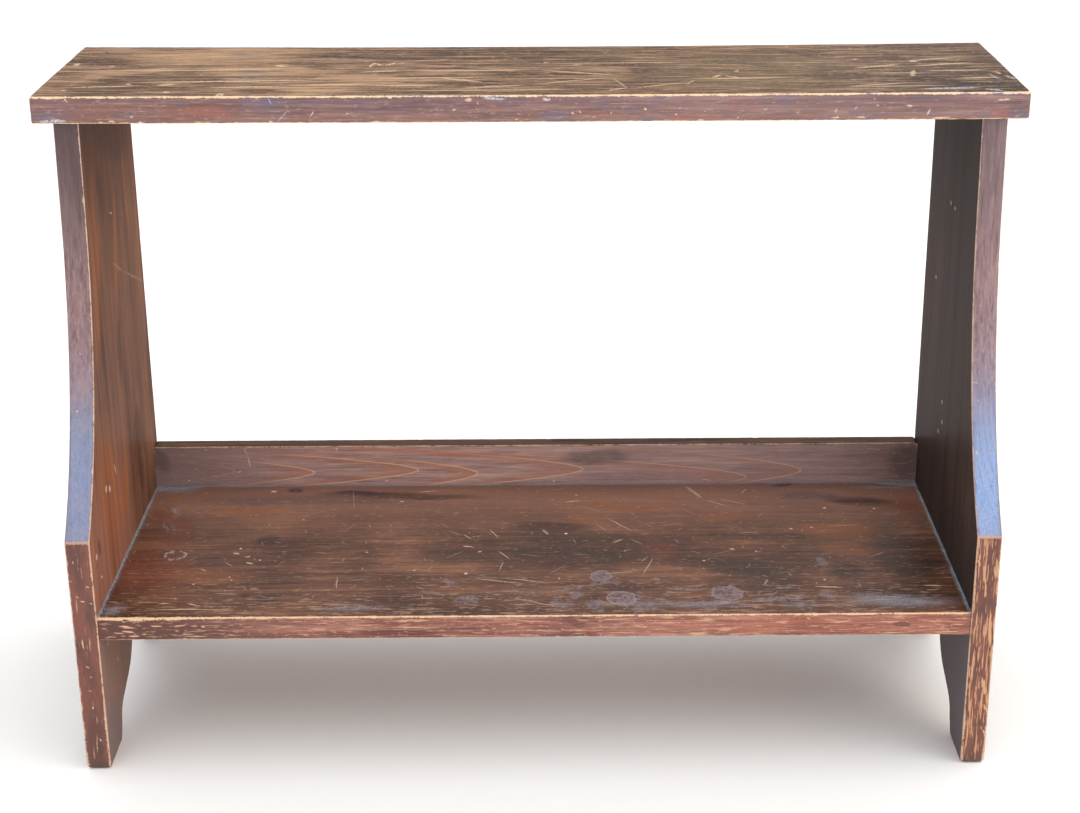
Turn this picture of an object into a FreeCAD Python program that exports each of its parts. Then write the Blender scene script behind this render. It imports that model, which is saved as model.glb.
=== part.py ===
import FreeCAD, Part
import math
import os

from FreeCAD import Vector

# Millimetres. The origin is on the floor, under the middle of the bench.
# +X runs along the bench, the front faces -Y and +Z is up.

# Top board
top_length = 1016.0
top_depth = 263.0
top_thickness = 28.0
top_end_overhang = 19.5
top_front_overhang = 11.5
top_arris = 2.0

# Side panels: a straight front up to the knuckle, then a hollow curve up to the top board
bench_height = 717.0
base_depth = 372.5
panel_thickness = 26.0
knuckle_height = 271.0
panel_arris = 1.2

# Feet and the cut-out between them
foot_width = 62.5
foot_corner_round = 6.0
arch_height = 110.0
arch_shoulder_radius = 25.0
arch_waist_radius = 57.0

# Shelf and the ledge that stands on its back margin
shelf_height = 182.5
shelf_thickness = 26.0
shelf_front_setback = 2.5
ledge_height = 52.0
ledge_thickness = 21.0
ledge_arris = 1.5
shelf_arris = 1.5

# Housings: grooves that stop short of the front and run out at the back
shelf_housing_depth = 8.0
shelf_housing_stop = 22.0
top_housing_depth = 6.0
top_housing_stop = 16.0

# Long finishing nails in the top and the shelf, short ones in the ledge
long_nail_length = 64.0
long_nail_radius = 1.45
long_nail_head_radius = 2.0
short_nail_length = 48.0
short_nail_radius = 1.2
short_nail_head_radius = 1.7
nail_head_height = 1.8
nail_point_length = 4.0
nail_set_depth = 2.0
top_nail_count = 4
top_nail_margin = 34.0
shelf_nail_count = 4
shelf_nail_margin = 48.0
ledge_end_nail_count = 2
ledge_end_nail_margin = 14.0
ledge_foot_nail_count = 5
ledge_foot_nail_margin = 70.0

# One overrun for every cut that passes through a face, and how closely edges are told apart
overrun = 5.0
same_place = 0.01
full_turn = 360

# Hollow front curve: the corners of the straight runs that its two arcs touch,
# as shares of the curve's width across and of its rise above the knuckle
curve_in_shares = (0.446, 0.912)
curve_rise_shares = (0.143, 0.533)

# Cut-out between the feet: the corners that its arcs round off, from a foot to the crown,
# as shares of its half width and of its height
arch_in_shares = (0.107, 0.626, 0.861)
arch_rise_shares = (0.331, 0.543, 1.0)

# Places worked out from the sizes above
front_y = -base_depth / 2
back_y = base_depth / 2
top_underside = bench_height - top_thickness
top_front_y = back_y - top_depth
panel_top_front_y = top_front_y + top_front_overhang
panel_outer_x = top_length / 2 - top_end_overhang
panel_inner_x = panel_outer_x - panel_thickness
panel_middle_x = panel_outer_x - panel_thickness / 2
shelf_underside = shelf_height - shelf_thickness
shelf_middle_z = shelf_height - shelf_thickness / 2
shelf_front_y = front_y + shelf_front_setback
ledge_top = shelf_height + ledge_height
ledge_front_y = back_y - ledge_thickness
ledge_middle_y = back_y - ledge_thickness / 2


def block(low, high):
    """Box between two opposite corners, given in any order."""
    lows = [min(a, b) for a, b in zip(low, high)]
    sizes = [abs(b - a) for a, b in zip(low, high)]
    return Part.makeBox(*sizes, Vector(*lows))


def line(a, b):
    return Part.LineSegment(a, b).toShape()


def arc(a, middle, b):
    return Part.Arc(a, middle, b).toShape()


def reach_radius(before, corner, after, reach):
    """Radius of the arc that leaves both runs at this distance from their corner."""
    half_angle = (before - corner).getAngle(after - corner) / 2
    return reach * math.tan(half_angle)


def rounding(before, corner, after, radius):
    """Start, middle and end of the tangent arc of this radius in a corner."""
    back = (before - corner).normalize()
    ahead = (after - corner).normalize()
    half_angle = back.getAngle(ahead) / 2
    reach = radius / math.tan(half_angle)
    bisector = (back + ahead).normalize()
    middle = corner + bisector * (radius / math.sin(half_angle) - radius)
    return corner + back * reach, middle, corner + ahead * reach


def rounded_outline(corners):
    """Closed wire of straight runs. Each corner is a point and a radius, and radius 0 keeps it sharp."""
    count = len(corners)
    points = [point for point, radius in corners]
    arcs = [
        rounding(points[i - 1], points[i], points[(i + 1) % count], corners[i][1])
        for i in range(count)
    ]
    edges = []
    for i, (start, middle, end) in enumerate(arcs):
        if corners[i][1] > 0:
            edges.append(arc(start, middle, end))
        next_start = arcs[(i + 1) % count][0]
        if (next_start - end).Length > same_place:
            edges.append(line(end, next_start))
    return Part.Wire(Part.__sortEdges__(edges))


def curve_corners(x):
    """Corners of the hollow front curve, between the knuckle and the top board."""
    width = panel_top_front_y - front_y
    rise = top_underside - knuckle_height
    knuckle = Vector(x, front_y, knuckle_height)
    top = Vector(x, panel_top_front_y, top_underside)
    low, high = [
        Vector(x, front_y + across * width, knuckle_height + up * rise)
        for across, up in zip(curve_in_shares, curve_rise_shares)
    ]
    low_reach = (low - knuckle).Length
    high_reach = (high - low).Length - low_reach
    return [
        (knuckle, 0),
        (low, reach_radius(knuckle, low, high, low_reach)),
        (high, reach_radius(low, high, top, high_reach)),
        (top, 0),
    ]


def arch_corners(x, side_y):
    """Corners of half the cut-out, from a foot to the crown. side_y is -1 in front and 1 at the back."""
    half_width = base_depth / 2 - foot_width
    foot = Vector(x, side_y * half_width, 0)
    shoulder, waist, crown = [
        Vector(x, side_y * half_width * (1 - across), arch_height * up)
        for across, up in zip(arch_in_shares, arch_rise_shares)
    ]
    crown_reach = abs(crown.y)
    crown_middle = Vector(x, 0, crown.z)
    return [
        (foot, foot_corner_round),
        (shoulder, arch_shoulder_radius),
        (waist, arch_waist_radius),
        (crown, reach_radius(waist, crown, crown_middle, crown_reach)),
    ]


def panel_outline(x):
    """Closed outline of a side panel in the plane at x, from the front toe round to the front foot."""
    front_toe = [(Vector(x, front_y, 0), foot_corner_round)]
    back = [(Vector(x, back_y, top_underside), 0), (Vector(x, back_y, 0), foot_corner_round)]
    arch = arch_corners(x, 1) + arch_corners(x, -1)[::-1]
    return rounded_outline(front_toe + curve_corners(x) + back + arch)


def face_outline_edges(solid):
    """Edges round both faces of a panel, apart from those under the top board."""
    return [
        e for e in solid.Edges
        if e.BoundBox.XLength < same_place and e.BoundBox.ZMin < top_underside - same_place
    ]


def side_panel(side):
    """Side panel with eased arrises and a tongue for the top board."""
    outer_x = side * panel_outer_x
    inner_x = side * panel_inner_x
    profile = Part.Face(panel_outline(outer_x))
    solid = profile.extrude(Vector(inner_x - outer_x, 0, 0))
    solid = solid.makeFillet(panel_arris, face_outline_edges(solid))
    solid = solid.fuse(top_tongue(side)).removeSplitter()
    return solid.cut(shelf_tongue(side))


def top_tongue(side):
    """The panel's upper end that sits in the top board's housing."""
    return block(
        (side * panel_outer_x, panel_top_front_y + top_housing_stop, top_underside),
        (side * panel_inner_x, back_y, top_underside + top_housing_depth),
    )


def shelf_tongue(side):
    """The shelf's end that sits in a side panel's housing."""
    return block(
        (side * panel_inner_x, shelf_front_y + shelf_housing_stop, shelf_underside),
        (side * (panel_inner_x + shelf_housing_depth), back_y, shelf_height),
    )


def edges_along_x(solid, z_values, y_values):
    """Edges that run the board's length at any of these heights and depths."""
    return [
        e for e in solid.Edges
        if e.BoundBox.XLength > panel_inner_x
        and any(abs(e.CenterOfMass.z - z) < same_place for z in z_values)
        and any(abs(e.CenterOfMass.y - y) < same_place for y in y_values)
    ]


def top_board():
    """Top board with eased arrises and a housing for each side panel."""
    solid = block(
        (-top_length / 2, top_front_y, top_underside),
        (top_length / 2, back_y, bench_height),
    )
    solid = solid.makeFillet(top_arris, solid.Edges)
    for side in (-1, 1):
        solid = solid.cut(top_tongue(side))
    return solid


def lower_shelf():
    """Shelf board with an eased front and a tongue at each end."""
    solid = block(
        (-panel_inner_x, shelf_front_y, shelf_underside),
        (panel_inner_x, back_y, shelf_height),
    )
    front = edges_along_x(solid, (shelf_underside, shelf_height), (shelf_front_y,))
    solid = solid.makeFillet(shelf_arris, front)
    for side in (-1, 1):
        solid = solid.fuse(shelf_tongue(side))
    return solid.removeSplitter()


def back_ledge():
    """Low board on the shelf's back margin, eased along its top."""
    solid = block(
        (-panel_inner_x, ledge_front_y, shelf_height),
        (panel_inner_x, back_y, ledge_top),
    )
    upper = edges_along_x(solid, (ledge_top,), (ledge_front_y, back_y))
    return solid.makeFillet(ledge_arris, upper)


def nail(length, radius, head_radius):
    """Finishing nail with its head's top at the origin, pointing down -Z."""
    half_section = [
        Vector(0, 0, 0),
        Vector(head_radius, 0, 0),
        Vector(head_radius, 0, -nail_head_height / 2),
        Vector(radius, 0, -nail_head_height),
        Vector(radius, 0, nail_point_length - length),
        Vector(0, 0, -length),
        Vector(0, 0, 0),
    ]
    face = Part.Face(Part.makePolygon(half_section))
    return face.revolve(Vector(0, 0, 0), Vector(0, 0, 1), full_turn)


def long_nail():
    return nail(long_nail_length, long_nail_radius, long_nail_head_radius)


def short_nail():
    return nail(short_nail_length, short_nail_radius, short_nail_head_radius)


def driven(shape, spot, inward):
    """A nail or plug turned to point along inward, with its upper end at spot."""
    turn = FreeCAD.Rotation(Vector(0, 0, -1), inward)
    placed = shape.copy()
    placed.Placement = FreeCAD.Placement(spot, turn)
    return placed


def spread(low, high, count):
    """Places spaced evenly from low to high."""
    step = (high - low) / max(count - 1, 1)
    return [low + step * i for i in range(count)]


def top_nail_spots(side):
    """Nail places on the upper face, over the middle of a side panel."""
    ys = spread(panel_top_front_y + top_nail_margin, back_y - top_nail_margin, top_nail_count)
    return [Vector(side * panel_middle_x, y, bench_height) for y in ys]


def shelf_nail_spots(side):
    """Nail places on a side panel's outer face, level with the middle of the shelf."""
    ys = spread(shelf_front_y + shelf_nail_margin, back_y - shelf_nail_margin, shelf_nail_count)
    return [Vector(side * panel_outer_x, y, shelf_middle_z) for y in ys]


def ledge_end_nail_spots(side):
    """Nail places on a side panel's outer face, level with the end of the ledge."""
    lowest = shelf_height + ledge_end_nail_margin
    zs = spread(lowest, ledge_top - ledge_end_nail_margin, ledge_end_nail_count)
    return [Vector(side * panel_outer_x, ledge_middle_y, z) for z in zs]


def ledge_foot_nail_spots():
    """Nail places under the shelf, below the ledge."""
    reach = panel_inner_x - ledge_foot_nail_margin
    xs = spread(-reach, reach, ledge_foot_nail_count)
    return [Vector(x, ledge_middle_y, shelf_underside) for x in xs]


def set_nails(shape, spots, inward):
    """Nails with their heads set below the face that the spots lie on."""
    return [driven(shape, spot + inward * nail_set_depth, inward) for spot in spots]


def plugs(head_radius, spots, inward):
    """Filler over each set nail head, level with the face."""
    plug = Part.makeCylinder(head_radius, nail_set_depth, Vector(0, 0, -nail_set_depth))
    return [driven(plug, spot, inward) for spot in spots]


def fastener_groups():
    """Every group of nails and of filler plugs, by node name."""
    down = Vector(0, 0, -1)
    up = Vector(0, 0, 1)
    groups = {"ledge_foot_nails": set_nails(short_nail(), ledge_foot_nail_spots(), up)}
    for name, side in (("left", -1), ("right", 1)):
        inward = Vector(-side, 0, 0)
        top_spots = top_nail_spots(side)
        shelf_spots = shelf_nail_spots(side)
        ledge_spots = ledge_end_nail_spots(side)
        groups["top_nails_" + name] = set_nails(long_nail(), top_spots, down)
        groups["shelf_nails_" + name] = set_nails(long_nail(), shelf_spots, inward)
        groups["ledge_end_nails_" + name] = set_nails(short_nail(), ledge_spots, inward)
        groups["top_nail_filler_" + name] = plugs(long_nail_head_radius, top_spots, down)
        groups["side_nail_filler_" + name] = (
            plugs(long_nail_head_radius, shelf_spots, inward)
            + plugs(short_nail_head_radius, ledge_spots, inward)
        )
    return groups


def head_room(spots, inward, head_radius):
    """Open recess above nails that are set but not filled."""
    recess = Part.makeCylinder(head_radius, nail_set_depth + overrun, Vector(0, 0, -nail_set_depth))
    return [driven(recess, spot, inward) for spot in spots]


def bored(board, groups):
    """A board with the room for every nail and plug that reaches it."""
    tools = [piece for pieces in groups.values() for piece in pieces]
    tools += head_room(ledge_foot_nail_spots(), Vector(0, 0, 1), short_nail_head_radius)
    reaching = [t for t in tools if t.BoundBox.intersect(board.BoundBox)]
    return board.cut(reaching) if reaching else board


def write_node(name, shapes):
    Part.makeCompound(shapes).exportStep(os.path.join("parts", name + ".step"))
    volume = math.fsum(s.Volume for s in shapes)
    print(name, len(shapes), "solids", round(volume), "mm3", all(s.isValid() for s in shapes))


def main():
    os.makedirs("parts", exist_ok=True)
    groups = fastener_groups()
    boards = {
        "top_board": top_board(),
        "left_side_panel": side_panel(-1),
        "right_side_panel": side_panel(1),
        "lower_shelf": lower_shelf(),
        "back_ledge": back_ledge(),
    }
    for name, board in boards.items():
        write_node(name, bored(board, groups).Solids)
    for name, pieces in groups.items():
        write_node(name, pieces)


main()
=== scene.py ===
import math

import bmesh
import bpy
import numpy as np
from mathutils import Matrix, Vector, geometry


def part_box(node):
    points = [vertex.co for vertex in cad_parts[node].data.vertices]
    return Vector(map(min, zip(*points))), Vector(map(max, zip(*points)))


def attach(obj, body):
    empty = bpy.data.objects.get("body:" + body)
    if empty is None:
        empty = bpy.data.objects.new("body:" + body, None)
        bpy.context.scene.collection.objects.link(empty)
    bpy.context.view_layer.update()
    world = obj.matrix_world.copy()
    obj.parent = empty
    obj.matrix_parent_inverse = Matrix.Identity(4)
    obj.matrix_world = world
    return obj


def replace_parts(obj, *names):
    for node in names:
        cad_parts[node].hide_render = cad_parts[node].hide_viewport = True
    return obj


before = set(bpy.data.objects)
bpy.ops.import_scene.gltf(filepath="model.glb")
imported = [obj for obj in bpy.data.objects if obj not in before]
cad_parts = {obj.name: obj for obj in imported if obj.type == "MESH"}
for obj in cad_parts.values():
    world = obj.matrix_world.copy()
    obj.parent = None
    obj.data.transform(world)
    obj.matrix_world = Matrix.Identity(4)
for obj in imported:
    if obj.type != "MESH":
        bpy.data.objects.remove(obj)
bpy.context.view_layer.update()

# Metres. The origin is on the floor, under the middle of the bench.
# +X runs along the bench, the front faces -Y and +Z is up. Pixels are those of the 1080 x 813 photo.
mm = 0.001
x_axis, y_axis, z_axis = 0, 1, 2

# Camera, fitted to the bench's corners in the photo
photo_width = 1080
photo_height = 813
photo_focal = 1999.2
photo_centre = (564.2, 403.4)
sensor_width = 36.0
camera_place = Vector((0.0207, -2.0771, 1.1528))
camera_yaw = math.radians(0.343)
camera_pitch = math.radians(21.081)
camera_roll = math.radians(0.221)

# The boards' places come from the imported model
top_low, top_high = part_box("top_board")
panel_low, panel_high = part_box("right_side_panel")
shelf_low, shelf_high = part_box("lower_shelf")
ledge_low, ledge_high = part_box("back_ledge")
front_y = panel_low.y
back_y = panel_high.y
panel_inner_x = panel_low.x
panel_outer_x = panel_high.x
panel_thickness = panel_outer_x - panel_inner_x
top_underside = top_low.z
top_front_overhang = 11.5 * mm
panel_top_front_y = top_low.y + top_front_overhang

# Side panel outline: sizes and shares as the solids have them
knuckle_height = 271 * mm
foot_width = 62.5 * mm
foot_corner_round = 6 * mm
arch_height = 110 * mm
arch_shoulder_radius = 25 * mm
arch_waist_radius = 57 * mm
curve_in_shares = (0.446, 0.912)
curve_rise_shares = (0.143, 0.533)
arch_in_shares = (0.107, 0.626, 0.861)
arch_rise_shares = (0.331, 0.543, 1.0)

# Ends that are let into a neighbour, or stand a little proud of it so that the joint shows
joint_overlap = 0.3 * mm
tongue_proud = 0.15 * mm
tongue_taper = 4 * mm

# Rounding of the boards' upright corners, by wear
top_corner_round = 3.5 * mm
shelf_corner_round = 1 * mm
ledge_corner_round = 4 * mm
top_board_sag = 2.2 * mm
sag_front_share = 0.35
worn_corner_x = -0.47

# Stage
floor_half = 9.0

# Mesh density of the boards
outline_step = 1.8 * mm
wall_step = 3.2 * mm
face_step = 14 * mm
band_width = 4.5 * mm
band_shares = (1.0, 0.55, 0.2)
arris_steps = 5
arc_least_steps = 4
inset_tolerance = 0.97
same_place = mm / 1000
nearby_steps = 6

# Worn arrises: waves of their roundness, and chips
arris_waves = (310 * mm, 130 * mm, 57 * mm, 23 * mm, 11 * mm)
arris_swing = 0.45
top_arris = 1.9 * mm
shelf_arris = 1.5 * mm
ledge_arris = 1.1 * mm
panel_arris = 1.2 * mm
toe_wear = 2.6 * mm
toe_height = 16 * mm
top_chips = 14
shelf_chips = 14
ledge_chips_per_metre = 8
panel_chips = 9
top_seed, shelf_seed, ledge_seed, left_seed, right_seed = 11, 12, 13, 14, 15
least_arris = 0.7 * mm
most_arris = 3.6 * mm
buried_arris = 0.25 * mm
chip_half_length = (1.2 * mm, 4.5 * mm)
chip_depth = (0.15 * mm, 0.8 * mm)
chip_reach = 1.6

# Bake map: how the regions of a board share it
rim_folds = 4
region_weights = {"face": 1.0, "back": 0.35, "rim": 0.9}
sheet_margin = 0.01


# Camera

def camera_axes():
    """Right, down and forward of the camera that took the photo."""
    forward = Vector((
        math.sin(camera_yaw) * math.cos(camera_pitch),
        math.cos(camera_yaw) * math.cos(camera_pitch),
        -math.sin(camera_pitch),
    ))
    level = Vector((math.cos(camera_yaw), -math.sin(camera_yaw), 0))
    plumb = forward.cross(level)
    right = math.cos(camera_roll) * level + math.sin(camera_roll) * plumb
    down = math.cos(camera_roll) * plumb - math.sin(camera_roll) * level
    return right, down, forward


def seen_at(pixel, axis, level):
    """The point on the plane axis = level that shows at this pixel of the photo."""
    right, down, forward = camera_axes()
    across = (pixel[0] - photo_centre[0]) / photo_focal
    below = (pixel[1] - photo_centre[1]) / photo_focal
    ray = forward + right * across + down * below
    return camera_place + ray * ((level - camera_place[axis]) / ray[axis])


def make_camera():
    data = bpy.data.cameras.new("camera")
    data.sensor_fit = "HORIZONTAL"
    data.sensor_width = sensor_width
    data.lens = photo_focal / photo_width * sensor_width
    data.shift_x = (photo_width / 2 - photo_centre[0]) / photo_width
    data.shift_y = (photo_centre[1] - photo_height / 2) / photo_width
    camera = bpy.data.objects.new("camera", data)
    right, down, forward = camera_axes()
    turn = Matrix((right, -down, -forward)).transposed()
    camera.matrix_world = Matrix.Translation(camera_place) @ turn.to_4x4()
    bpy.context.scene.collection.objects.link(camera)
    bpy.context.scene.camera = camera


# Outlines of the boards, as flat points in metres

def unit(vector):
    return vector / np.linalg.norm(vector)


def corner_half_angle(before, corner, after):
    cosine = unit(before - corner) @ unit(after - corner)
    return math.acos(max(-1.0, min(1.0, cosine))) / 2


def reach_radius(before, corner, after, reach):
    """Radius of the arc that leaves both runs at this distance from their corner."""
    return reach * math.tan(corner_half_angle(before, corner, after))


def arc_points(before, corner, after, radius):
    """Points of the tangent arc of this radius in a corner, or the corner alone."""
    if radius <= 0:
        return [corner]
    half = corner_half_angle(before, corner, after)
    bisector = unit(unit(before - corner) + unit(after - corner))
    centre = corner + bisector * radius / math.sin(half)
    reach = radius / math.tan(half)
    first = corner + unit(before - corner) * reach - centre
    last = corner + unit(after - corner) * reach - centre
    start = math.atan2(first[1], first[0])
    sweep = math.remainder(math.atan2(last[1], last[0]) - start, math.tau)
    steps = max(arc_least_steps, round(abs(sweep) * radius / outline_step))
    angles = [start + sweep * i / steps for i in range(steps + 1)]
    return [centre + radius * np.array((math.cos(a), math.sin(a))) for a in angles]


def outline_points(corners):
    """Points along a closed outline of straight runs whose corners are rounded."""
    places = [np.array(place, float) for place, radius in corners]
    count = len(corners)
    arcs = [
        arc_points(places[i - 1], places[i], places[(i + 1) % count], corners[i][1])
        for i in range(count)
    ]
    points = []
    for i, arc in enumerate(arcs):
        points += arc
        run = arcs[(i + 1) % count][0] - arc[-1]
        steps = max(1, round(np.linalg.norm(run) / outline_step))
        points += [arc[-1] + run * k / steps for k in range(1, steps)]
    following = points[1:] + points[:1]
    return np.array([p for p, q in zip(points, following) if np.linalg.norm(p - q) > same_place])


def rectangle(low, high, radii):
    """Outline of a rectangular board. The radii are those of its corners, from the low one round."""
    corners = [(low[0], low[1]), (high[0], low[1]), (high[0], high[1]), (low[0], high[1])]
    return outline_points(list(zip(corners, radii)))


def curve_corners():
    """Corners of the hollow front curve, between the knuckle and the top board."""
    width = panel_top_front_y - front_y
    rise = top_underside - knuckle_height
    knuckle = np.array((front_y, knuckle_height))
    top = np.array((panel_top_front_y, top_underside))
    low, high = [
        np.array((front_y + across * width, knuckle_height + up * rise))
        for across, up in zip(curve_in_shares, curve_rise_shares)
    ]
    low_reach = np.linalg.norm(low - knuckle)
    high_reach = np.linalg.norm(high - low) - low_reach
    return [
        (knuckle, 0),
        (low, reach_radius(knuckle, low, high, low_reach)),
        (high, reach_radius(low, high, top, high_reach)),
        (top, 0),
    ]


def arch_corners(side_y):
    """Corners of half the cut-out, from a foot to the crown. side_y is -1 in front and 1 at the back."""
    half_width = back_y - foot_width
    foot = np.array((side_y * half_width, 0))
    shoulder, waist, crown = [
        np.array((side_y * half_width * (1 - across), arch_height * up))
        for across, up in zip(arch_in_shares, arch_rise_shares)
    ]
    crown_middle = np.array((0, arch_height))
    return [
        (foot, foot_corner_round),
        (shoulder, arch_shoulder_radius),
        (waist, arch_waist_radius),
        (crown, reach_radius(waist, crown, crown_middle, abs(crown[0]))),
    ]


def panel_outline():
    """Outline of a side panel in depth and height, from the front toe round to the front foot."""
    corners = [((front_y, 0), foot_corner_round)] + curve_corners()
    corners += [((panel_top_front_y, panel_high.z), 0), ((back_y - tongue_taper, panel_high.z), 0)]
    corners += [((back_y, top_underside), 0), ((back_y, 0), foot_corner_round)]
    corners += arch_corners(1) + arch_corners(-1)[::-1]
    return outline_points(corners)


# Boards: a dense rim that follows the outline, with both faces filled in

def loop_normals(outline):
    """Inward normals of a closed outline, lengthened at corners so that an inset stays parallel."""
    following = np.roll(outline, -1, 0)
    ahead = following - outline
    ahead /= np.linalg.norm(ahead, axis=1)[:, None]
    behind = np.roll(ahead, 1, 0)
    area = np.sum(outline[:, 0] * following[:, 1] - following[:, 0] * outline[:, 1])
    both = ahead + behind
    across = np.stack([-both[:, 1], both[:, 0]], 1) * np.sign(area)
    across /= np.linalg.norm(across, axis=1)[:, None]
    alike = np.clip(np.sum(ahead * behind, 1), -1, 1)
    return across / np.sqrt((1 + alike) / 2)[:, None]


def run_gap(points, start, run):
    """Distance of points from runs that begin at start."""
    offset = points - start
    share = np.clip(np.sum(offset * run, -1) / np.sum(run * run, -1), 0, 1)
    return np.linalg.norm(offset - share[..., None] * run, axis=-1)


def nearby_gap(points, outline):
    """Distance of a moved outline's points from the stretch of the outline that they came from."""
    runs = np.roll(outline, -1, 0) - outline
    gaps = [
        run_gap(points, np.roll(outline, shift, 0), np.roll(runs, shift, 0))
        for shift in range(-nearby_steps, nearby_steps + 1)
    ]
    return np.min(gaps, 0)


def outline_gap(points, outline):
    """Distance of each point from the outline."""
    runs = np.roll(outline, -1, 0) - outline
    return np.min(run_gap(points[:, None], outline[None], runs[None]), 1)


def inset_loop(outline, normals, insets):
    """The outline moved inwards, and for each point the nearest one that doesn't cross the loop."""
    moved = outline + normals * insets[:, None]
    indices = np.arange(len(outline))
    if not insets.any():
        return moved, indices
    kept = indices[nearby_gap(moved, outline) > insets * inset_tolerance - same_place]
    steps = np.abs(indices[:, None] - kept[None])
    steps = np.minimum(steps, len(outline) - steps)
    return moved, kept[np.argmin(steps, 1)]


def is_inside(point, loop):
    """Whether a point lies inside a loop, by the crossings of a ray from it."""
    ahead = np.roll(loop, -1, 0)
    spans = (loop[:, 1] > point[1]) != (ahead[:, 1] > point[1])
    rise = np.where(spans, ahead[:, 1] - loop[:, 1], 1)
    meets = loop[:, 0] + (point[1] - loop[:, 1]) / rise * (ahead[:, 0] - loop[:, 0])
    return np.count_nonzero(spans & (meets > point[0])) % 2 == 1


def fill_loop(loop):
    """Points and triangles that fill a loop, on its own points and a loose grid between them."""
    low, high = loop.min(0), loop.max(0)
    lines = [np.arange(a + face_step / 2, b, face_step) for a, b in zip(low, high)]
    grid = np.stack(np.meshgrid(*lines, indexing="ij"), -1).reshape(-1, 2)
    clear = outline_gap(grid, loop) > face_step / 3
    grid = grid[clear & np.array([is_inside(p, loop) for p in grid])]
    count = len(loop)
    edges = [(i, (i + 1) % count) for i in range(count)]
    spots = [Vector(p) for p in np.concatenate([loop, grid])]
    made = geometry.delaunay_2d_cdt(spots, edges, [list(range(count))], 1, same_place / 10)
    return np.array([tuple(p) for p in made[0]]), np.array(made[2])


def worn_arris(random, along, radius, chips_per_metre, buried):
    """Radius of an arris round the outline, and the depth of its chips. A buried arris has neither."""
    length = along[-1]
    places = along[:-1]
    swing = np.zeros(len(places))
    for wave in arris_waves:
        turns = round(length / wave)
        swing += np.sin(places / length * turns * math.tau + random.uniform(0, math.tau))
    lost = np.zeros(len(places))
    for _ in range(int(chips_per_metre * length)):
        half = random.uniform(*chip_half_length)
        depth = chip_depth[0] + (chip_depth[1] - chip_depth[0]) * random.random() ** 3
        away = (places - random.uniform(0, length) + length / 2) % length - length / 2
        lost = np.maximum(lost, depth * np.sqrt(np.clip(1 - (away / half) ** 2, 0, 1)))
    worn = radius * (1 + arris_swing * swing / len(arris_waves)) + lost
    worn = np.clip(worn, least_arris, most_arris)
    return np.where(buried, buried_arris, worn), np.where(buried, 0, lost)


def half_rim(side, half, radius, lost):
    """Rows from a face's band to the end of its arris: inset, height, distance from the arris, chips."""
    rows = []
    for share in band_shares:
        inset = radius + (band_width - radius) * share
        rows.append((inset, side * half + 0 * inset, inset, lost))
    for step in range(arris_steps + 1):
        angle = step / arris_steps * math.pi / 2
        inset = radius * (1 - math.sin(angle))
        height = side * (half - radius * (1 - math.cos(angle)))
        rows.append((inset, height, radius * abs(angle - math.pi / 4), lost))
    return rows


def wall_rows(half, upper, lower, lost):
    """Rows of the edge between both arrises."""
    count = max(2, round(2 * half / wall_step))
    rows = []
    for step in range(1, count):
        height = upper + (lower - upper) * step / count
        rows.append((0 * height, height, half - np.abs(height), 0 * lost))
    return rows


class BakeSheet:
    """Where each region of a board lies on its bake map: folded strips, one above the other."""

    def __init__(self, regions):
        """regions: name, length, height and number of folds."""
        tall = {name: height * region_weights[name] for name, length, height, folds in regions}
        total = sum(tall[name] * folds for name, length, height, folds in regions)
        self.strips = {}
        start = 0.0
        for name, length, height, folds in regions:
            share = tall[name] / total
            self.strips[name] = (length / folds, height, folds, start, share)
            start += share * folds

    def spread(self, name, places):
        """Map places of faces' corners, given as distances along and across their region."""
        length, height, folds, start, share = self.strips[name]
        fold = np.clip(places[:, :, 0].mean(1) // length, 0, folds - 1)[:, None]
        inner = 1 - 2 * sheet_margin
        along = sheet_margin + inner * (places[:, :, 0] / length - fold)
        across = start + share * (fold + sheet_margin + inner * places[:, :, 1] / height)
        return np.stack([along, across], -1)


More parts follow.
